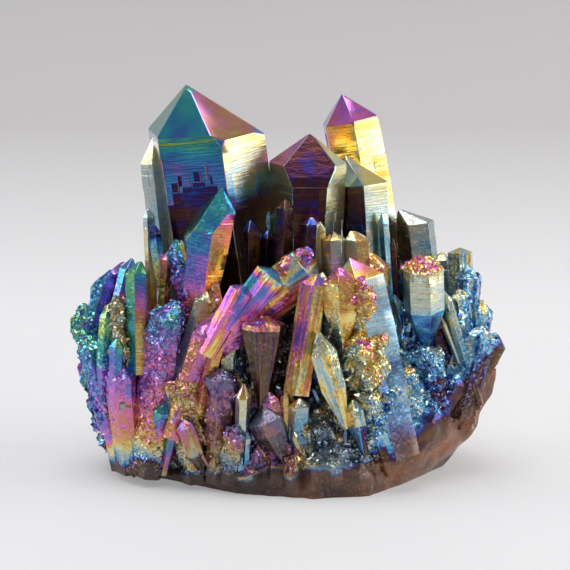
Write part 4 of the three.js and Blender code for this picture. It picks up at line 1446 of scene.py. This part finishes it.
def new_tree(kind, name, inputs, outputs):
    tree = bpy.data.node_groups.new(name, kind)
    for socket_name, socket_type, value in inputs:
        socket = tree.interface.new_socket(socket_name, in_out="INPUT", socket_type=socket_type)
        if value is not None:
            socket.default_value = value
    for socket_name, socket_type in outputs:
        tree.interface.new_socket(socket_name, in_out="OUTPUT", socket_type=socket_type)
    return tree


def node(tree, kind, **settings):
    made = tree.nodes.new(kind)
    for name, value in settings.items():
        setattr(made, name, value)
    return made


def math_node(tree, operation, first, second=0.5, third=None, clamp=False):
    made = node(tree, "ShaderNodeMath", operation=operation, use_clamp=clamp)
    for socket, value in zip(made.inputs, (first, second, third)):
        if isinstance(value, (int, float)):
            socket.default_value = value
        elif value is not None:
            tree.links.new(value, socket)
    return made.outputs[0]


def mapped(tree, value, span, result):
    """A value that runs over the span, made to run over the result."""
    made = node(tree, "ShaderNodeMapRange")
    tree.links.new(value, made.inputs["Value"])
    for name, number in zip(("From Min", "From Max", "To Min", "To Max"), (*span, *result)):
        made.inputs[name].default_value = number
    return made.outputs["Result"]


def noise_node(tree, vector, scale, detail, roughness):
    made = node(tree, "ShaderNodeTexNoise")
    tree.links.new(vector, made.inputs["Vector"])
    made.inputs["Scale"].default_value = scale
    made.inputs["Detail"].default_value = detail
    made.inputs["Roughness"].default_value = roughness
    return made.outputs["Fac"]


def attribute(tree, name, output="Fac"):
    return node(tree, "ShaderNodeAttribute", attribute_name=name).outputs[output]


# Growth lines are noise drawn out across a face and squeezed along it: how often, and how fine and rough.
FINE_LINES = ((0.22, 3.4, 1.0), 4.0, 0.6)
BROAD_LINES = ((0.12, 0.9, 1.0), 2.0, 0.5)
FACETS_IN_METRE = 2500.0
FACET_TILT = 0.5


def film_group():
    """The film's colour from its thickness."""
    tree = new_tree(
        "ShaderNodeTree", "film_colour",
        [("Thickness", "NodeSocketFloat", 0.5)],
        [("Colour", "NodeSocketColor")],
    )
    start, end = node(tree, "NodeGroupInput"), node(tree, "NodeGroupOutput")
    ramp = node(tree, "ShaderNodeValToRGB")
    elements = ramp.color_ramp.elements
    while len(elements) > 1:
        elements.remove(elements[-1])
    elements[0].position = FILM_COLOURS[0][0]
    elements[0].color = linear(FILM_COLOURS[0][1])
    for place, colour in FILM_COLOURS[1:]:
        element = elements.new(place)
        element.color = linear(colour)
    tree.links.new(start.outputs["Thickness"], ramp.inputs["Fac"])
    tree.links.new(ramp.outputs["Color"], end.inputs["Colour"])
    return tree


def growth_group():
    """Fine growth lines across a crystal's axis, as a height and as a change of film thickness."""
    tree = new_tree(
        "ShaderNodeTree", "growth_lines",
        [("Grain", "NodeSocketVector", None)],
        [("Lines", "NodeSocketFloat"), ("Broad", "NodeSocketFloat")],
    )
    start, end = node(tree, "NodeGroupInput"), node(tree, "NodeGroupOutput")
    lines = []
    for stretch, detail, roughness in (FINE_LINES, BROAD_LINES):
        stretched = node(tree, "ShaderNodeVectorMath", operation="MULTIPLY")
        tree.links.new(start.outputs["Grain"], stretched.inputs[0])
        stretched.inputs[1].default_value = stretch
        lines.append(noise_node(tree, stretched.outputs[0], 1.0, detail, roughness))
    tree.links.new(lines[0], end.inputs["Lines"])
    tree.links.new(lines[1], end.inputs["Broad"])
    return tree


def sparkle_group():
    """Small tilted facets, as a height in metres, and a tone for each from 0 to 1."""
    tree = new_tree(
        "ShaderNodeTree", "sparkle_facets",
        [
            ("Place", "NodeSocketVector", None),
            ("Number", "NodeSocketFloat", FACETS_IN_METRE),
            ("Tilt", "NodeSocketFloat", FACET_TILT),
        ],
        [("Height", "NodeSocketFloat"), ("Tone", "NodeSocketFloat")],
    )
    start, end = node(tree, "NodeGroupInput"), node(tree, "NodeGroupOutput")
    cells = node(tree, "ShaderNodeTexVoronoi")
    tree.links.new(start.outputs["Place"], cells.inputs["Vector"])
    tree.links.new(start.outputs["Number"], cells.inputs["Scale"])
    away = node(tree, "ShaderNodeVectorMath", operation="SUBTRACT")
    tree.links.new(start.outputs["Place"], away.inputs[0])
    tree.links.new(cells.outputs["Position"], away.inputs[1])
    turn = node(tree, "ShaderNodeVectorMath", operation="SUBTRACT")
    tree.links.new(cells.outputs["Color"], turn.inputs[0])
    turn.inputs[1].default_value = (0.5, 0.5, 0.5)
    tilt = node(tree, "ShaderNodeVectorMath", operation="DOT_PRODUCT")
    tree.links.new(away.outputs[0], tilt.inputs[0])
    tree.links.new(turn.outputs[0], tilt.inputs[1])
    height = math_node(tree, "MULTIPLY", tilt.outputs["Value"], start.outputs["Tilt"])
    parts = node(tree, "ShaderNodeSeparateColor")
    tree.links.new(cells.outputs["Color"], parts.inputs["Color"])
    tree.links.new(height, end.inputs["Height"])
    tree.links.new(parts.outputs["Red"], end.inputs["Tone"])
    return tree


FILM_GROUP = film_group()
GROWTH_GROUP = growth_group()
SPARKLE_GROUP = sparkle_group()


def placed_group(tree, group, **links):
    made = node(tree, "ShaderNodeGroup", node_tree=group)
    for name, value in links.items():
        tree.links.new(value, made.inputs[name])
    return made


# A mix node has sockets for numbers, vectors and colours in turn, and these are their places.
MIX_VECTORS = (4, 5)
MIXED_VECTOR = 1
MIX_COLOURS = (6, 7)
MIXED_COLOUR = 2


def mixed(tree, share, first, second):
    made = node(tree, "ShaderNodeMix", data_type="RGBA")
    for place, value in zip((0, *MIX_COLOURS), (share, first, second)):
        if isinstance(value, (int, float, tuple)):
            made.inputs[place].default_value = value
        else:
            tree.links.new(value, made.inputs[place])
    return made.outputs[MIXED_COLOUR]


STONE_DARK = linear((48, 28, 18))
STONE_SMOKY = linear((88, 70, 62))
STONE_WARM = linear((172, 104, 58))
WORN_COLOUR = linear((226, 214, 190))
DUST_COLOUR = linear((118, 108, 108))
# The whitish colour of the painted highlights on the druse and on the fine crystals.
PAINTED_GLINT_COLOUR = linear((236, 228, 232))

# The stone turns from smoky to warm over this stretch from left to right, in metres. The clouds, specks
# and pits of stone and film are noise, and scale is how often it changes in a metre.
WARM_STRETCH = (-0.01, 0.03)
STONE_CLOUD = dict(scale=90.0, detail=4.0, roughness=0.6)
STONE_SPECKLE = dict(scale=1700.0, detail=2.0, roughness=0.8)
STONE_PITS = dict(scale=800.0, detail=4.0, roughness=0.65)
AURA_CLOUD = dict(scale=170.0, detail=3.0, roughness=0.55)
AURA_SPECKS = dict(scale=1500.0, detail=2.0, roughness=0.6)
CLOUD_VEIL = ((0.32, 0.68), (-0.2, 0.8))
SPECKLE_VEIL = ((0.55, 0.68), (0, 0.9))

# A noise's values lie mostly in the wide span, and the narrow one makes its changes sharper.
WIDE = (0.25, 0.75)
NARROW = (0.3, 0.7)
WHOLE = (0, 1)

# How much clouds, growth lines, streaks and single facets change the film's thickness.
FILM_CLOUDS = (-0.05, 0.05)
FILM_LINES = (-0.03, 0.03)
FILM_STREAKS = (-0.08, 0.08)
FILM_FACETS = (-0.06, 0.06)
WORN_SHARE = 0.14
METAL_SHARE = 0.93
# Painted highlights: druse facets whose tone lies in the first span turn whitish by up to the second.
PAINTED_GLINTS = ((0.6, 1), (0, 0.5))

# The roughness of the film, and what druse, dust and bare stone add to it. A clear coat lies over the
# film, and light goes a little way into the stone.
GLOSS = (0.1, 0.24)
DRUSE_ROUGHNESS = 0.06
DUST_ROUGHNESS = 0.2
STONE_ROUGHNESS = 0.12
CLEAR_COAT = 0.3
CLEAR_COAT_ROUGHNESS = 0.1
STONE_GLOW = 0.3
STONE_GLOW_DEPTH = 0.004
STONE_GLOW_COLOURS = (1.0, 0.45, 0.25)

# Heights of the bumps in metres, and how much deeper the facets are on the druse.
LINE_HEIGHT = 0.00007
BROAD_HEIGHT = 0.00006
SPECK_HEIGHT = 0.000012
PIT_HEIGHT = 0.0003
FACET_DEPTH = 1.6


def stone_colour(tree, place):
    """Smoky quartz, clouded and paler along its healed cracks."""
    cloud = noise_node(tree, place, **STONE_CLOUD)
    speckle = noise_node(tree, place, **STONE_SPECKLE)
    sides = node(tree, "ShaderNodeSeparateXYZ")
    tree.links.new(place, sides.inputs[0])
    warm = mapped(tree, sides.outputs["X"], WARM_STRETCH, WHOLE)
    veil = math_node(tree, "ADD", mapped(tree, cloud, *CLOUD_VEIL), mapped(tree, speckle, *SPECKLE_VEIL))
    light = mixed(tree, warm, STONE_SMOKY, STONE_WARM)
    return mixed(tree, math_node(tree, "MULTIPLY", veil, 1.0, clamp=True), STONE_DARK, light)


def set_coating(tree, shader, film, wear, place, coat, painted_glint):
    """The film's colour over the stone's, metallic only where the film is, whitish in painted highlights."""
    colour = placed_group(tree, FILM_GROUP, Thickness=film).outputs["Colour"]
    # Painted highlights mix a whitish colour into the film's colour.
    colour = mixed(tree, painted_glint, colour, PAINTED_GLINT_COLOUR)
    colour = mixed(tree, attribute(tree, "dull"), colour, DUST_COLOUR)
    colour = mixed(tree, math_node(tree, "MULTIPLY", wear, WORN_SHARE), colour, WORN_COLOUR)
    tree.links.new(mixed(tree, coat, stone_colour(tree, place), colour), shader.inputs["Base Color"])
    tree.links.new(math_node(tree, "MULTIPLY", coat, METAL_SHARE), shader.inputs["Metallic"])
    shader.inputs["Coat Weight"].default_value = CLEAR_COAT
    shader.inputs["Coat Roughness"].default_value = CLEAR_COAT_ROUGHNESS


def aura_film(tree, growth, tone, cloud, druse):
    """The thickness of the film at each place, from the attribute and from all that changes it."""
    film = attribute(tree, "film")
    film = math_node(tree, "ADD", film, mapped(tree, cloud, WIDE, FILM_CLOUDS))
    film = math_node(tree, "ADD", film, mapped(tree, growth.outputs["Broad"], WIDE, FILM_LINES))
    film = math_node(tree, "ADD", film, mapped(tree, growth.outputs["Lines"], WIDE, FILM_LINES))
    streaks = mapped(tree, growth.outputs["Broad"], NARROW, FILM_STREAKS)
    film = math_node(tree, "ADD", film, math_node(tree, "MULTIPLY", streaks, attribute(tree, "streak")))
    facets = math_node(tree, "MULTIPLY", mapped(tree, tone, WHOLE, FILM_FACETS), druse)
    return math_node(tree, "ADD", film, facets, clamp=True)


def aura_roughness(tree, cloud, druse, coat):
    gloss = mapped(tree, cloud, NARROW, GLOSS)
    gloss = math_node(tree, "ADD", gloss, math_node(tree, "MULTIPLY", druse, DRUSE_ROUGHNESS))
    dust = math_node(tree, "MULTIPLY", attribute(tree, "dull"), DUST_ROUGHNESS)
    gloss = math_node(tree, "ADD", gloss, dust)
    return math_node(tree, "ADD", gloss, mapped(tree, coat, WHOLE, (STONE_ROUGHNESS, 0)))


def aura_height(tree, place, growth, facet_height, druse, coat):
    """The height of the surface in metres: growth lines, specks, pits in the bare stone and facets."""
    speck = noise_node(tree, place, **AURA_SPECKS)
    lines = math_node(tree, "MULTIPLY", growth.outputs["Lines"], LINE_HEIGHT)
    broad = math_node(tree, "MULTIPLY", growth.outputs["Broad"], BROAD_HEIGHT)
    height = math_node(tree, "ADD", lines, broad)
    height = math_node(tree, "ADD", height, math_node(tree, "MULTIPLY", speck, SPECK_HEIGHT))
    pits = math_node(tree, "MULTIPLY", noise_node(tree, place, **STONE_PITS), PIT_HEIGHT)
    bare = math_node(tree, "SUBTRACT", 1.0, coat)
    height = math_node(tree, "ADD", height, math_node(tree, "MULTIPLY", pits, bare))
    facets = math_node(tree, "MULTIPLY", facet_height, math_node(tree, "MULTIPLY", druse, coat))
    return math_node(tree, "ADD", height, math_node(tree, "MULTIPLY", facets, FACET_DEPTH))


def aura_material():
    """Quartz under the film, fading to bare smoky stone round the foot."""
    material = bpy.data.materials.new("aura_quartz")
    material.use_nodes = True
    tree = material.node_tree
    shader = tree.nodes["Principled BSDF"]
    place = node(tree, "ShaderNodeTexCoord").outputs["Object"]
    growth = placed_group(tree, GROWTH_GROUP, Grain=attribute(tree, "grain", "Vector"))
    sparkle = placed_group(tree, SPARKLE_GROUP, Place=place)
    tone = sparkle.outputs["Tone"]
    druse = attribute(tree, "druse")
    coat = attribute(tree, "coat")
    cloud = noise_node(tree, place, **AURA_CLOUD)
    film = aura_film(tree, growth, tone, cloud, druse)
    # Painted highlights: the druse facets of highest tone are mixed towards a whitish colour.
    painted_glint = math_node(tree, "MULTIPLY", mapped(tree, tone, *PAINTED_GLINTS), druse)
    set_coating(tree, shader, film, attribute(tree, "wear"), place, coat, painted_glint)
    tree.links.new(aura_roughness(tree, cloud, druse, coat), shader.inputs["Roughness"])
    shader.inputs["Subsurface Weight"].default_value = STONE_GLOW
    shader.inputs["Subsurface Scale"].default_value = STONE_GLOW_DEPTH
    shader.inputs["Subsurface Radius"].default_value = STONE_GLOW_COLOURS
    set_bump(tree, shader, aura_height(tree, place, growth, sparkle.outputs["Height"], druse, coat))
    return material


def set_bump(tree, shader, height):
    """Bumps from a height in metres."""
    bump = node(tree, "ShaderNodeBump")
    bump.inputs["Strength"].default_value = 1.0
    bump.inputs["Distance"].default_value = 1.0
    tree.links.new(height, bump.inputs["Height"])
    tree.links.new(bump.outputs["Normal"], shader.inputs["Normal"])


cluster_mesh.materials.clear()
cluster_mesh.materials.append(aura_material())

# ---- Fine crystals that grow all over the lump and on the druse-covered crystals ----

# Shapes of stubs: how long they are and how much more each is, their point, and how their tip is broken.
STUB_COUNT = 6
STUB_LENGTH = 1.8
STUB_LONGER = 0.3
STUB_POINT = 0.5
STUB_POINTS = 3
STUB_POINT_MORE = 0.15
STUB_SHIFT = 0.6
STUB_SUNK = 0.3
STUB_TAPER = 0.9
STUB_TILT = 0.5
STUB_BROKEN = 0.08

# Shapes of druse grains: how far their faces turn, how steep they are and how high they meet.
GRAIN_COUNT = 4
GRAIN_SUNK = 0.25
GRAIN_FACES = (5, 3)
GRAIN_TURN = 0.15
GRAIN_SLOPE = (0.6, 1.1)
GRAIN_HALF = 0.5
GRAIN_HEIGHT = (0.75, 1.1)

# The most points in a square metre, and the highest number of a shape that the growers choose from.
DENSITY_MOST = 3e7
SHAPE_NUMBER_MOST = 11
WHOLE_TURN = 6.283
SIZE_SEED = 1
LEAN_SEED = 2
SPIN_SEED = 3
SHAPE_SEED = 4
TONE_SEED = 5

# The film on the fine crystals: how much clouds, facets and the crystal itself change it.
GRAIN_CLOUD = dict(scale=300.0, detail=2.0, roughness=0.5)
GRAIN_FILM = (-0.03, 0.03)
GRAIN_FACET_FILM = 0.03
# Painted highlights: facets of the fine crystals with the highest tone turn whitish by up to this share.
PAINTED_GRAIN_GLINTS = ((0.65, 1), (0, 0.25))
GRAIN_ROUGHNESS_SPAN = 0.12
GRAIN_FACET_DEPTH = 0.35

# Stubs and druse keep clear of the film's edge. Druse grows from half cover on.
COVERED_FROM = 0.98
STONE_FROM = 0.99
DRUSE_FROM = 0.5


def shape_object(name, body, seed, collection):
    """A crystal one millimetre wide that stands on the origin, for the growers to repeat."""
    chance = random.Random(seed)
    mesh, side = mesh_of_body(body)
    bmesh.ops.triangulate(mesh, faces=mesh.faces[:])
    data = bpy.data.meshes.new(name)
    mesh.to_mesh(data)
    mesh.free()
    corners = corner_sides(data)
    facets = {tag: chance.uniform(-1, 1) for tag in np.unique(corners)}
    write_floats(data, "facet", "CORNER", [facets[tag] for tag in corners])
    write_floats(data, "wear", "CORNER", (corners == BROKEN).astype(float))
    data.vertices.foreach_set("co", (read_points(data) * MM).ravel())
    data.attributes.remove(data.attributes["side"])
    collection.objects.link(bpy.data.objects.new(name, data))


def stub_body(number):
    """A small prism with a slanted, broken point."""
    chance = random.Random(number)
    shift = (chance.uniform(-STUB_SHIFT, STUB_SHIFT), chance.uniform(-STUB_SHIFT, STUB_SHIFT))
    point = STUB_POINT + STUB_POINT_MORE * (number % STUB_POINTS)
    options = dict(point=point, shift=shift, sunk=STUB_SUNK, taper=STUB_TAPER)
    tip = (0, 0, STUB_LENGTH + STUB_LONGER * number)
    form = crystal_form("stub", tip, (0, 0, 0), 1, options)
    tilt = (form["axis"] + form["sides"][number % PRISM_FACES] * STUB_TILT).normalized()
    highest = max(tilt.dot(corner) for corner in used_corners(form["body"]))
    return cut_body(form["body"], (tilt, highest - STUB_BROKEN), BROKEN)


def grain_body(number):
    """A point of five or three faces with a flat base."""
    chance = random.Random(number)
    count = GRAIN_FACES[number % 2]
    body = cut_body(block_round((0, 0, 0)), (Vector((0, 0, -1)), GRAIN_SUNK), BASE)
    for k in range(count):
        turn = 2 * math.pi * (k + chance.uniform(-GRAIN_TURN, GRAIN_TURN)) / count
        normal = Vector((math.cos(turn), math.sin(turn), chance.uniform(*GRAIN_SLOPE)))
        top = Vector((0, 0, GRAIN_HALF * chance.uniform(*GRAIN_HEIGHT)))
        body = cut_body(body, plane_through(top, normal), POINT + k)
    return body


def grower_tree(name, density):
    """Sets shapes of a collection on a surface where the density attribute says, each turned its own way."""
    tree = new_tree(
        "GeometryNodeTree", name,
        [
            ("Geometry", "NodeSocketGeometry", None),
            ("Shapes", "NodeSocketCollection", None),
            ("Apart", "NodeSocketFloat", 0.001),
            ("Smallest", "NodeSocketFloat", 0.5),
            ("Largest", "NodeSocketFloat", 1.0),
            ("Upright", "NodeSocketFloat", 0.5),
            ("Spread", "NodeSocketFloat", 0.3),
            ("Seed", "NodeSocketInt", 1),
            ("Material", "NodeSocketMaterial", None),
        ],
        [("Geometry", "NodeSocketGeometry")],
    )
    link = tree.links.new
    start, end = node(tree, "NodeGroupInput"), node(tree, "NodeGroupOutput")
    spread = node(tree, "GeometryNodeDistributePointsOnFaces", distribute_method="POISSON")
    link(start.outputs["Geometry"], spread.inputs["Mesh"])
    link(start.outputs["Apart"], spread.inputs["Distance Min"])
    link(start.outputs["Seed"], spread.inputs["Seed"])
    spread.inputs["Density Max"].default_value = DENSITY_MOST
    share = node(tree, "GeometryNodeInputNamedAttribute", data_type="FLOAT")
    share.inputs["Name"].default_value = density
    link(share.outputs["Attribute"], spread.inputs["Density Factor"])

    bare = spread.outputs["Points"]
    for kept_out in ("grain", "wear"):
        remove = node(tree, "GeometryNodeRemoveAttribute")
        remove.inputs["Name"].default_value = kept_out
        link(bare, remove.inputs["Geometry"])
        bare = remove.outputs["Geometry"]

    def random_value(kind, low, high, seed):
        made = node(tree, "FunctionNodeRandomValue", data_type=kind)
        sockets = [s for s in made.inputs if s.enabled and s.name in ("Min", "Max")]
        for socket, value in zip(sockets, (low, high)):
            if hasattr(value, "links"):
                link(value, socket)
            else:
                socket.default_value = value
        made.inputs["Seed"].default_value = seed
        return next(s for s in made.outputs if s.enabled)

    tone = node(tree, "GeometryNodeStoreNamedAttribute", data_type="FLOAT", domain="POINT")
    tone.inputs["Name"].default_value = "tone"
    link(bare, tone.inputs["Geometry"])
    link(random_value("FLOAT", -1.0, 1.0, TONE_SEED), tone.inputs["Value"])

    upward = node(tree, "ShaderNodeMix", data_type="VECTOR")
    link(start.outputs["Upright"], upward.inputs["Factor"])
    surface, straight_up = MIX_VECTORS
    link(spread.outputs["Normal"], upward.inputs[surface])
    upward.inputs[straight_up].default_value = (0, 0, 1)
    shake = node(tree, "ShaderNodeVectorMath", operation="SCALE")
    link(random_value("FLOAT_VECTOR", (-1, -1, -1), (1, 1, 1), LEAN_SEED), shake.inputs[0])
    link(start.outputs["Spread"], shake.inputs["Scale"])
    aim = node(tree, "ShaderNodeVectorMath", operation="ADD")
    link(upward.outputs[MIXED_VECTOR], aim.inputs[0])
    link(shake.outputs[0], aim.inputs[1])
    align = node(tree, "FunctionNodeAlignRotationToVector", axis="Z")
    link(aim.outputs[0], align.inputs["Vector"])
    turn = node(tree, "FunctionNodeRotateRotation", rotation_space="LOCAL")
    link(align.outputs["Rotation"], turn.inputs["Rotation"])
    spin = node(tree, "ShaderNodeCombineXYZ")
    link(random_value("FLOAT", 0.0, WHOLE_TURN, SPIN_SEED), spin.inputs["Z"])
    link(spin.outputs[0], turn.inputs["Rotate By"])

    shapes = node(tree, "GeometryNodeCollectionInfo")
    shapes.inputs["Separate Children"].default_value = True
    shapes.inputs["Reset Children"].default_value = True
    link(start.outputs["Shapes"], shapes.inputs["Collection"])
    place = node(tree, "GeometryNodeInstanceOnPoints")
    place.inputs["Pick Instance"].default_value = True
    link(tone.outputs["Geometry"], place.inputs["Points"])
    link(shapes.outputs["Instances"], place.inputs["Instance"])
    choice = random_value("INT", 0, SHAPE_NUMBER_MOST, SHAPE_SEED)
    link(choice, place.inputs["Instance Index"])
    link(turn.outputs["Rotation"], place.inputs["Rotation"])
    size = random_value("FLOAT", start.outputs["Smallest"], start.outputs["Largest"], SIZE_SEED)
    link(size, place.inputs["Scale"])
    realize = node(tree, "GeometryNodeRealizeInstances")
    link(place.outputs["Instances"], realize.inputs["Geometry"])
    finish = node(tree, "GeometryNodeSetMaterial")
    link(realize.outputs["Geometry"], finish.inputs["Geometry"])
    link(start.outputs["Material"], finish.inputs["Material"])
    link(finish.outputs["Geometry"], end.inputs["Geometry"])
    return tree


def grow(name, host, tree, **values):
    """A plain mesh object of what the tree grows on the host."""
    grower = host.modifiers.new(name, "NODES")
    grower.node_group = tree
    identifiers = {
        item.name: item.identifier
        for item in tree.interface.items_tree
        if item.item_type == "SOCKET" and item.in_out == "INPUT"
    }
    for input_name, value in values.items():
        grower[identifiers[input_name.replace("_", " ")]] = value
    graph = bpy.context.evaluated_depsgraph_get()
    mesh = bpy.data.meshes.new_from_object(host.evaluated_get(graph))
    host.modifiers.remove(grower)
    low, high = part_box(NODE)
    points = np.clip(read_points(mesh), np.array(low), np.array(high))
    mesh.vertices.foreach_set("co", points.ravel())
    piece = bpy.data.objects.new(name, mesh)
    bpy.context.scene.collection.objects.link(piece)
    return piece


def grain_material(name, film_shift, roughness):
    """The film on fine crystals, each with its own thickness."""
    material = bpy.data.materials.new(name)
    material.use_nodes = True
    tree = material.node_tree
    shader = tree.nodes["Principled BSDF"]
    place = node(tree, "ShaderNodeTexCoord").outputs["Object"]
    sparkle = placed_group(tree, SPARKLE_GROUP, Place=place)
    tone = sparkle.outputs["Tone"]
    cloud = noise_node(tree, place, **GRAIN_CLOUD)
    film = attribute(tree, "film")
    film = math_node(tree, "ADD", film, mapped(tree, cloud, WIDE, GRAIN_FILM))
    film = math_node(tree, "ADD", film, math_node(tree, "MULTIPLY", attribute(tree, "tone"), film_shift))
    film = math_node(tree, "ADD", film, mapped(tree, tone, WHOLE, GRAIN_FILM))
    facet = math_node(tree, "MULTIPLY", attribute(tree, "facet"), GRAIN_FACET_FILM)
    film = math_node(tree, "ADD", film, facet, clamp=True)
    # Painted highlights on the facets of highest tone.
    painted_glint = mapped(tree, tone, *PAINTED_GRAIN_GLINTS)
    set_coating(tree, shader, film, attribute(tree, "wear"), place, attribute(tree, "coat"), painted_glint)
    gloss = mapped(tree, cloud, NARROW, (roughness, roughness + GRAIN_ROUGHNESS_SPAN))
    tree.links.new(gloss, shader.inputs["Roughness"])
    set_bump(tree, shader, math_node(tree, "MULTIPLY", sparkle.outputs["Height"], GRAIN_FACET_DEPTH))
    return material


def growth_shares(mesh):
    """Where stubs and druse grow, for each corner of the cluster's faces."""
    coat = read_floats(mesh, "coat")[corner_points(mesh)]
    covered = (coat > COVERED_FROM).astype(float)
    stone = read_floats(mesh, "stone")
    druse = (read_floats(mesh, "druse") - DRUSE_FROM) / (1 - DRUSE_FROM)
    write_floats(mesh, "stub_share", "CORNER", (stone > STONE_FROM) * covered)
    write_floats(mesh, "druse_share", "CORNER", np.clip(druse, 0, 1) * covered)


stub_shapes = bpy.data.collections.new("stub_shapes")
for number in range(STUB_COUNT):
    shape_object(f"stub_{number}", stub_body(number), number, stub_shapes)
grain_shapes = bpy.data.collections.new("grain_shapes")
for number in range(GRAIN_COUNT):
    shape_object(f"grain_{number}", grain_body(number), number, grain_shapes)

growth_shares(cluster_mesh)
stubs = grow(
    "aura_stubs", cluster, grower_tree("stub_grower", "stub_share"),
    Shapes=stub_shapes, Apart=2.3 * MM, Smallest=0.5, Largest=1.3, Upright=0.65, Spread=0.25, Seed=3,
    Material=grain_material("aura_stub_film", film_shift=0.04, roughness=0.14),
)
druse = grow(
    "aura_druse", cluster, grower_tree("druse_grower", "druse_share"),
    Shapes=grain_shapes, Apart=0.4 * MM, Smallest=0.28, Largest=0.68, Upright=0.15, Spread=0.45, Seed=5,
    Material=grain_material("aura_druse_film", film_shift=0.03, roughness=0.16),
)

# ---- Camera, floor and lights ----

CAMERA_ELEVATION = 13
CAMERA_DISTANCE = 520
CAMERA_AIM = Vector((-0.5, 0, 33.4))
VIEW_WIDTH = 100
SENSOR_WIDTH = 36

# The floor and the wall, in metres: where the floor starts and bends up, how far, and half its width.
FLOOR_FRONT = -0.105
BEND_START = 0.1
BEND_REACH = 0.12
BEND_STEPS = 16
WALL_TOP = 0.75
FLOOR_HALF = 1.2

# Up to this height the floor's colour turns into the wall's, and the floor's glow fades out.
FLOOR_TO_WALL = (0, 0.03)
FLOOR_COLOUR = (0.5, 0.5, 0.507, 1)
WALL_COLOUR = (0.49, 0.475, 0.48, 1)
FLOOR_ROUGHNESS = 0.6
GLOW_COLOUR = (1, 0.99, 1, 1)
FLOOR_GLOW = (0.27, 0)

# The lights: where each stands and its size in metres, and its power in watts. All aim at one place.
LIGHTS = {
    "top_light": ((-0.05, 0.0, 0.8), (0.7, 0.5), 4),
    "right_light": ((0.65, -0.05, 0.3), (0.5, 0.6), 3.3),
    "left_light": ((-0.7, 0.08, 0.3), (0.3, 0.5), 1.8),
}
LIGHTS_AIM = Vector((0, 0, 0.03))
SURROUND_COLOUR = (0.8, 0.82, 0.85, 1)
SURROUND_STRENGTH = 0.37


def make_camera():
    tilt = math.radians(CAMERA_ELEVATION)
    aim = (CAMERA_AIM + SLIDE) * MM
    away = Vector((0, -math.cos(tilt), math.sin(tilt)))
    data = bpy.data.cameras.new("camera")
    data.sensor_width = SENSOR_WIDTH
    data.lens = SENSOR_WIDTH * CAMERA_DISTANCE / VIEW_WIDTH
    camera = bpy.data.objects.new("camera", data)
    camera.location = aim + away * CAMERA_DISTANCE * MM
    camera.rotation_euler = (-away).to_track_quat("-Z", "Y").to_euler()
    bpy.context.scene.collection.objects.link(camera)
    bpy.context.scene.camera = camera


def floor_material():
    """Pale in front, a little greyer up the wall, and clear from behind so the back can be seen."""
    material = bpy.data.materials.new("pale_floor")
    material.use_nodes = True
    tree = material.node_tree
    sides = node(tree, "ShaderNodeSeparateXYZ")
    tree.links.new(node(tree, "ShaderNodeTexCoord").outputs["Object"], sides.inputs[0])
    shade = mapped(tree, sides.outputs["Z"], FLOOR_TO_WALL, WHOLE)
    shader = tree.nodes["Principled BSDF"]
    tree.links.new(mixed(tree, shade, FLOOR_COLOUR, WALL_COLOUR), shader.inputs["Base Color"])
    shader.inputs["Roughness"].default_value = FLOOR_ROUGHNESS
    shader.inputs["Emission Color"].default_value = GLOW_COLOUR
    glow = mapped(tree, sides.outputs["Z"], FLOOR_TO_WALL, FLOOR_GLOW)
    tree.links.new(glow, shader.inputs["Emission Strength"])
    see_through = node(tree, "ShaderNodeBsdfTransparent")
    sided = node(tree, "ShaderNodeMixShader")
    tree.links.new(node(tree, "ShaderNodeNewGeometry").outputs["Backfacing"], sided.inputs[0])
    tree.links.new(shader.outputs[0], sided.inputs[1])
    tree.links.new(see_through.outputs[0], sided.inputs[2])
    tree.links.new(sided.outputs[0], tree.nodes["Material Output"].inputs["Surface"])
    return material


def make_backdrop():
    """A pale floor that ends in front of the cluster and bends up into a wall behind it."""
    profile = [(FLOOR_FRONT, 0)]
    for i in range(BEND_STEPS + 1):
        turn = math.pi / 2 * i / BEND_STEPS
        profile.append((BEND_START + BEND_REACH * math.sin(turn), BEND_REACH * (1 - math.cos(turn))))
    profile.append((BEND_START + BEND_REACH, WALL_TOP))
    corners = [(x, y, z) for y, z in profile for x in (-FLOOR_HALF, FLOOR_HALF)]
    faces = [(2 * i, 2 * i + 1, 2 * i + 3, 2 * i + 2) for i in range(len(profile) - 1)]
    mesh = bpy.data.meshes.new("floor")
    mesh.from_pydata(corners, [], faces)
    mesh.polygons.foreach_set("use_smooth", [True] * len(mesh.polygons))
    mesh.materials.append(floor_material())
    floor = bpy.data.objects.new("floor", mesh)
    bpy.context.scene.collection.objects.link(floor)


def softbox(name, place, size, power):
    data = bpy.data.lights.new(name, "AREA")
    data.shape = "RECTANGLE"
    data.size, data.size_y = size
    data.energy = power
    light = bpy.data.objects.new(name, data)
    light.location = place
    light.rotation_euler = (LIGHTS_AIM - Vector(place)).to_track_quat("-Z", "Y").to_euler()
    bpy.context.scene.collection.objects.link(light)


make_camera()
make_backdrop()
for light_name, (place, size, power) in LIGHTS.items():
    softbox(light_name, place, size, power)
world = bpy.data.worlds.new("studio")
world.use_nodes = True
surround = world.node_tree.nodes["Background"]
surround.inputs["Color"].default_value = SURROUND_COLOUR
surround.inputs["Strength"].default_value = SURROUND_STRENGTH
bpy.context.scene.world = world
bpy.context.scene.view_settings.view_transform = "Standard"

for piece in (cluster, stubs, druse):
    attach(piece, "root")
    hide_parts(NODE)
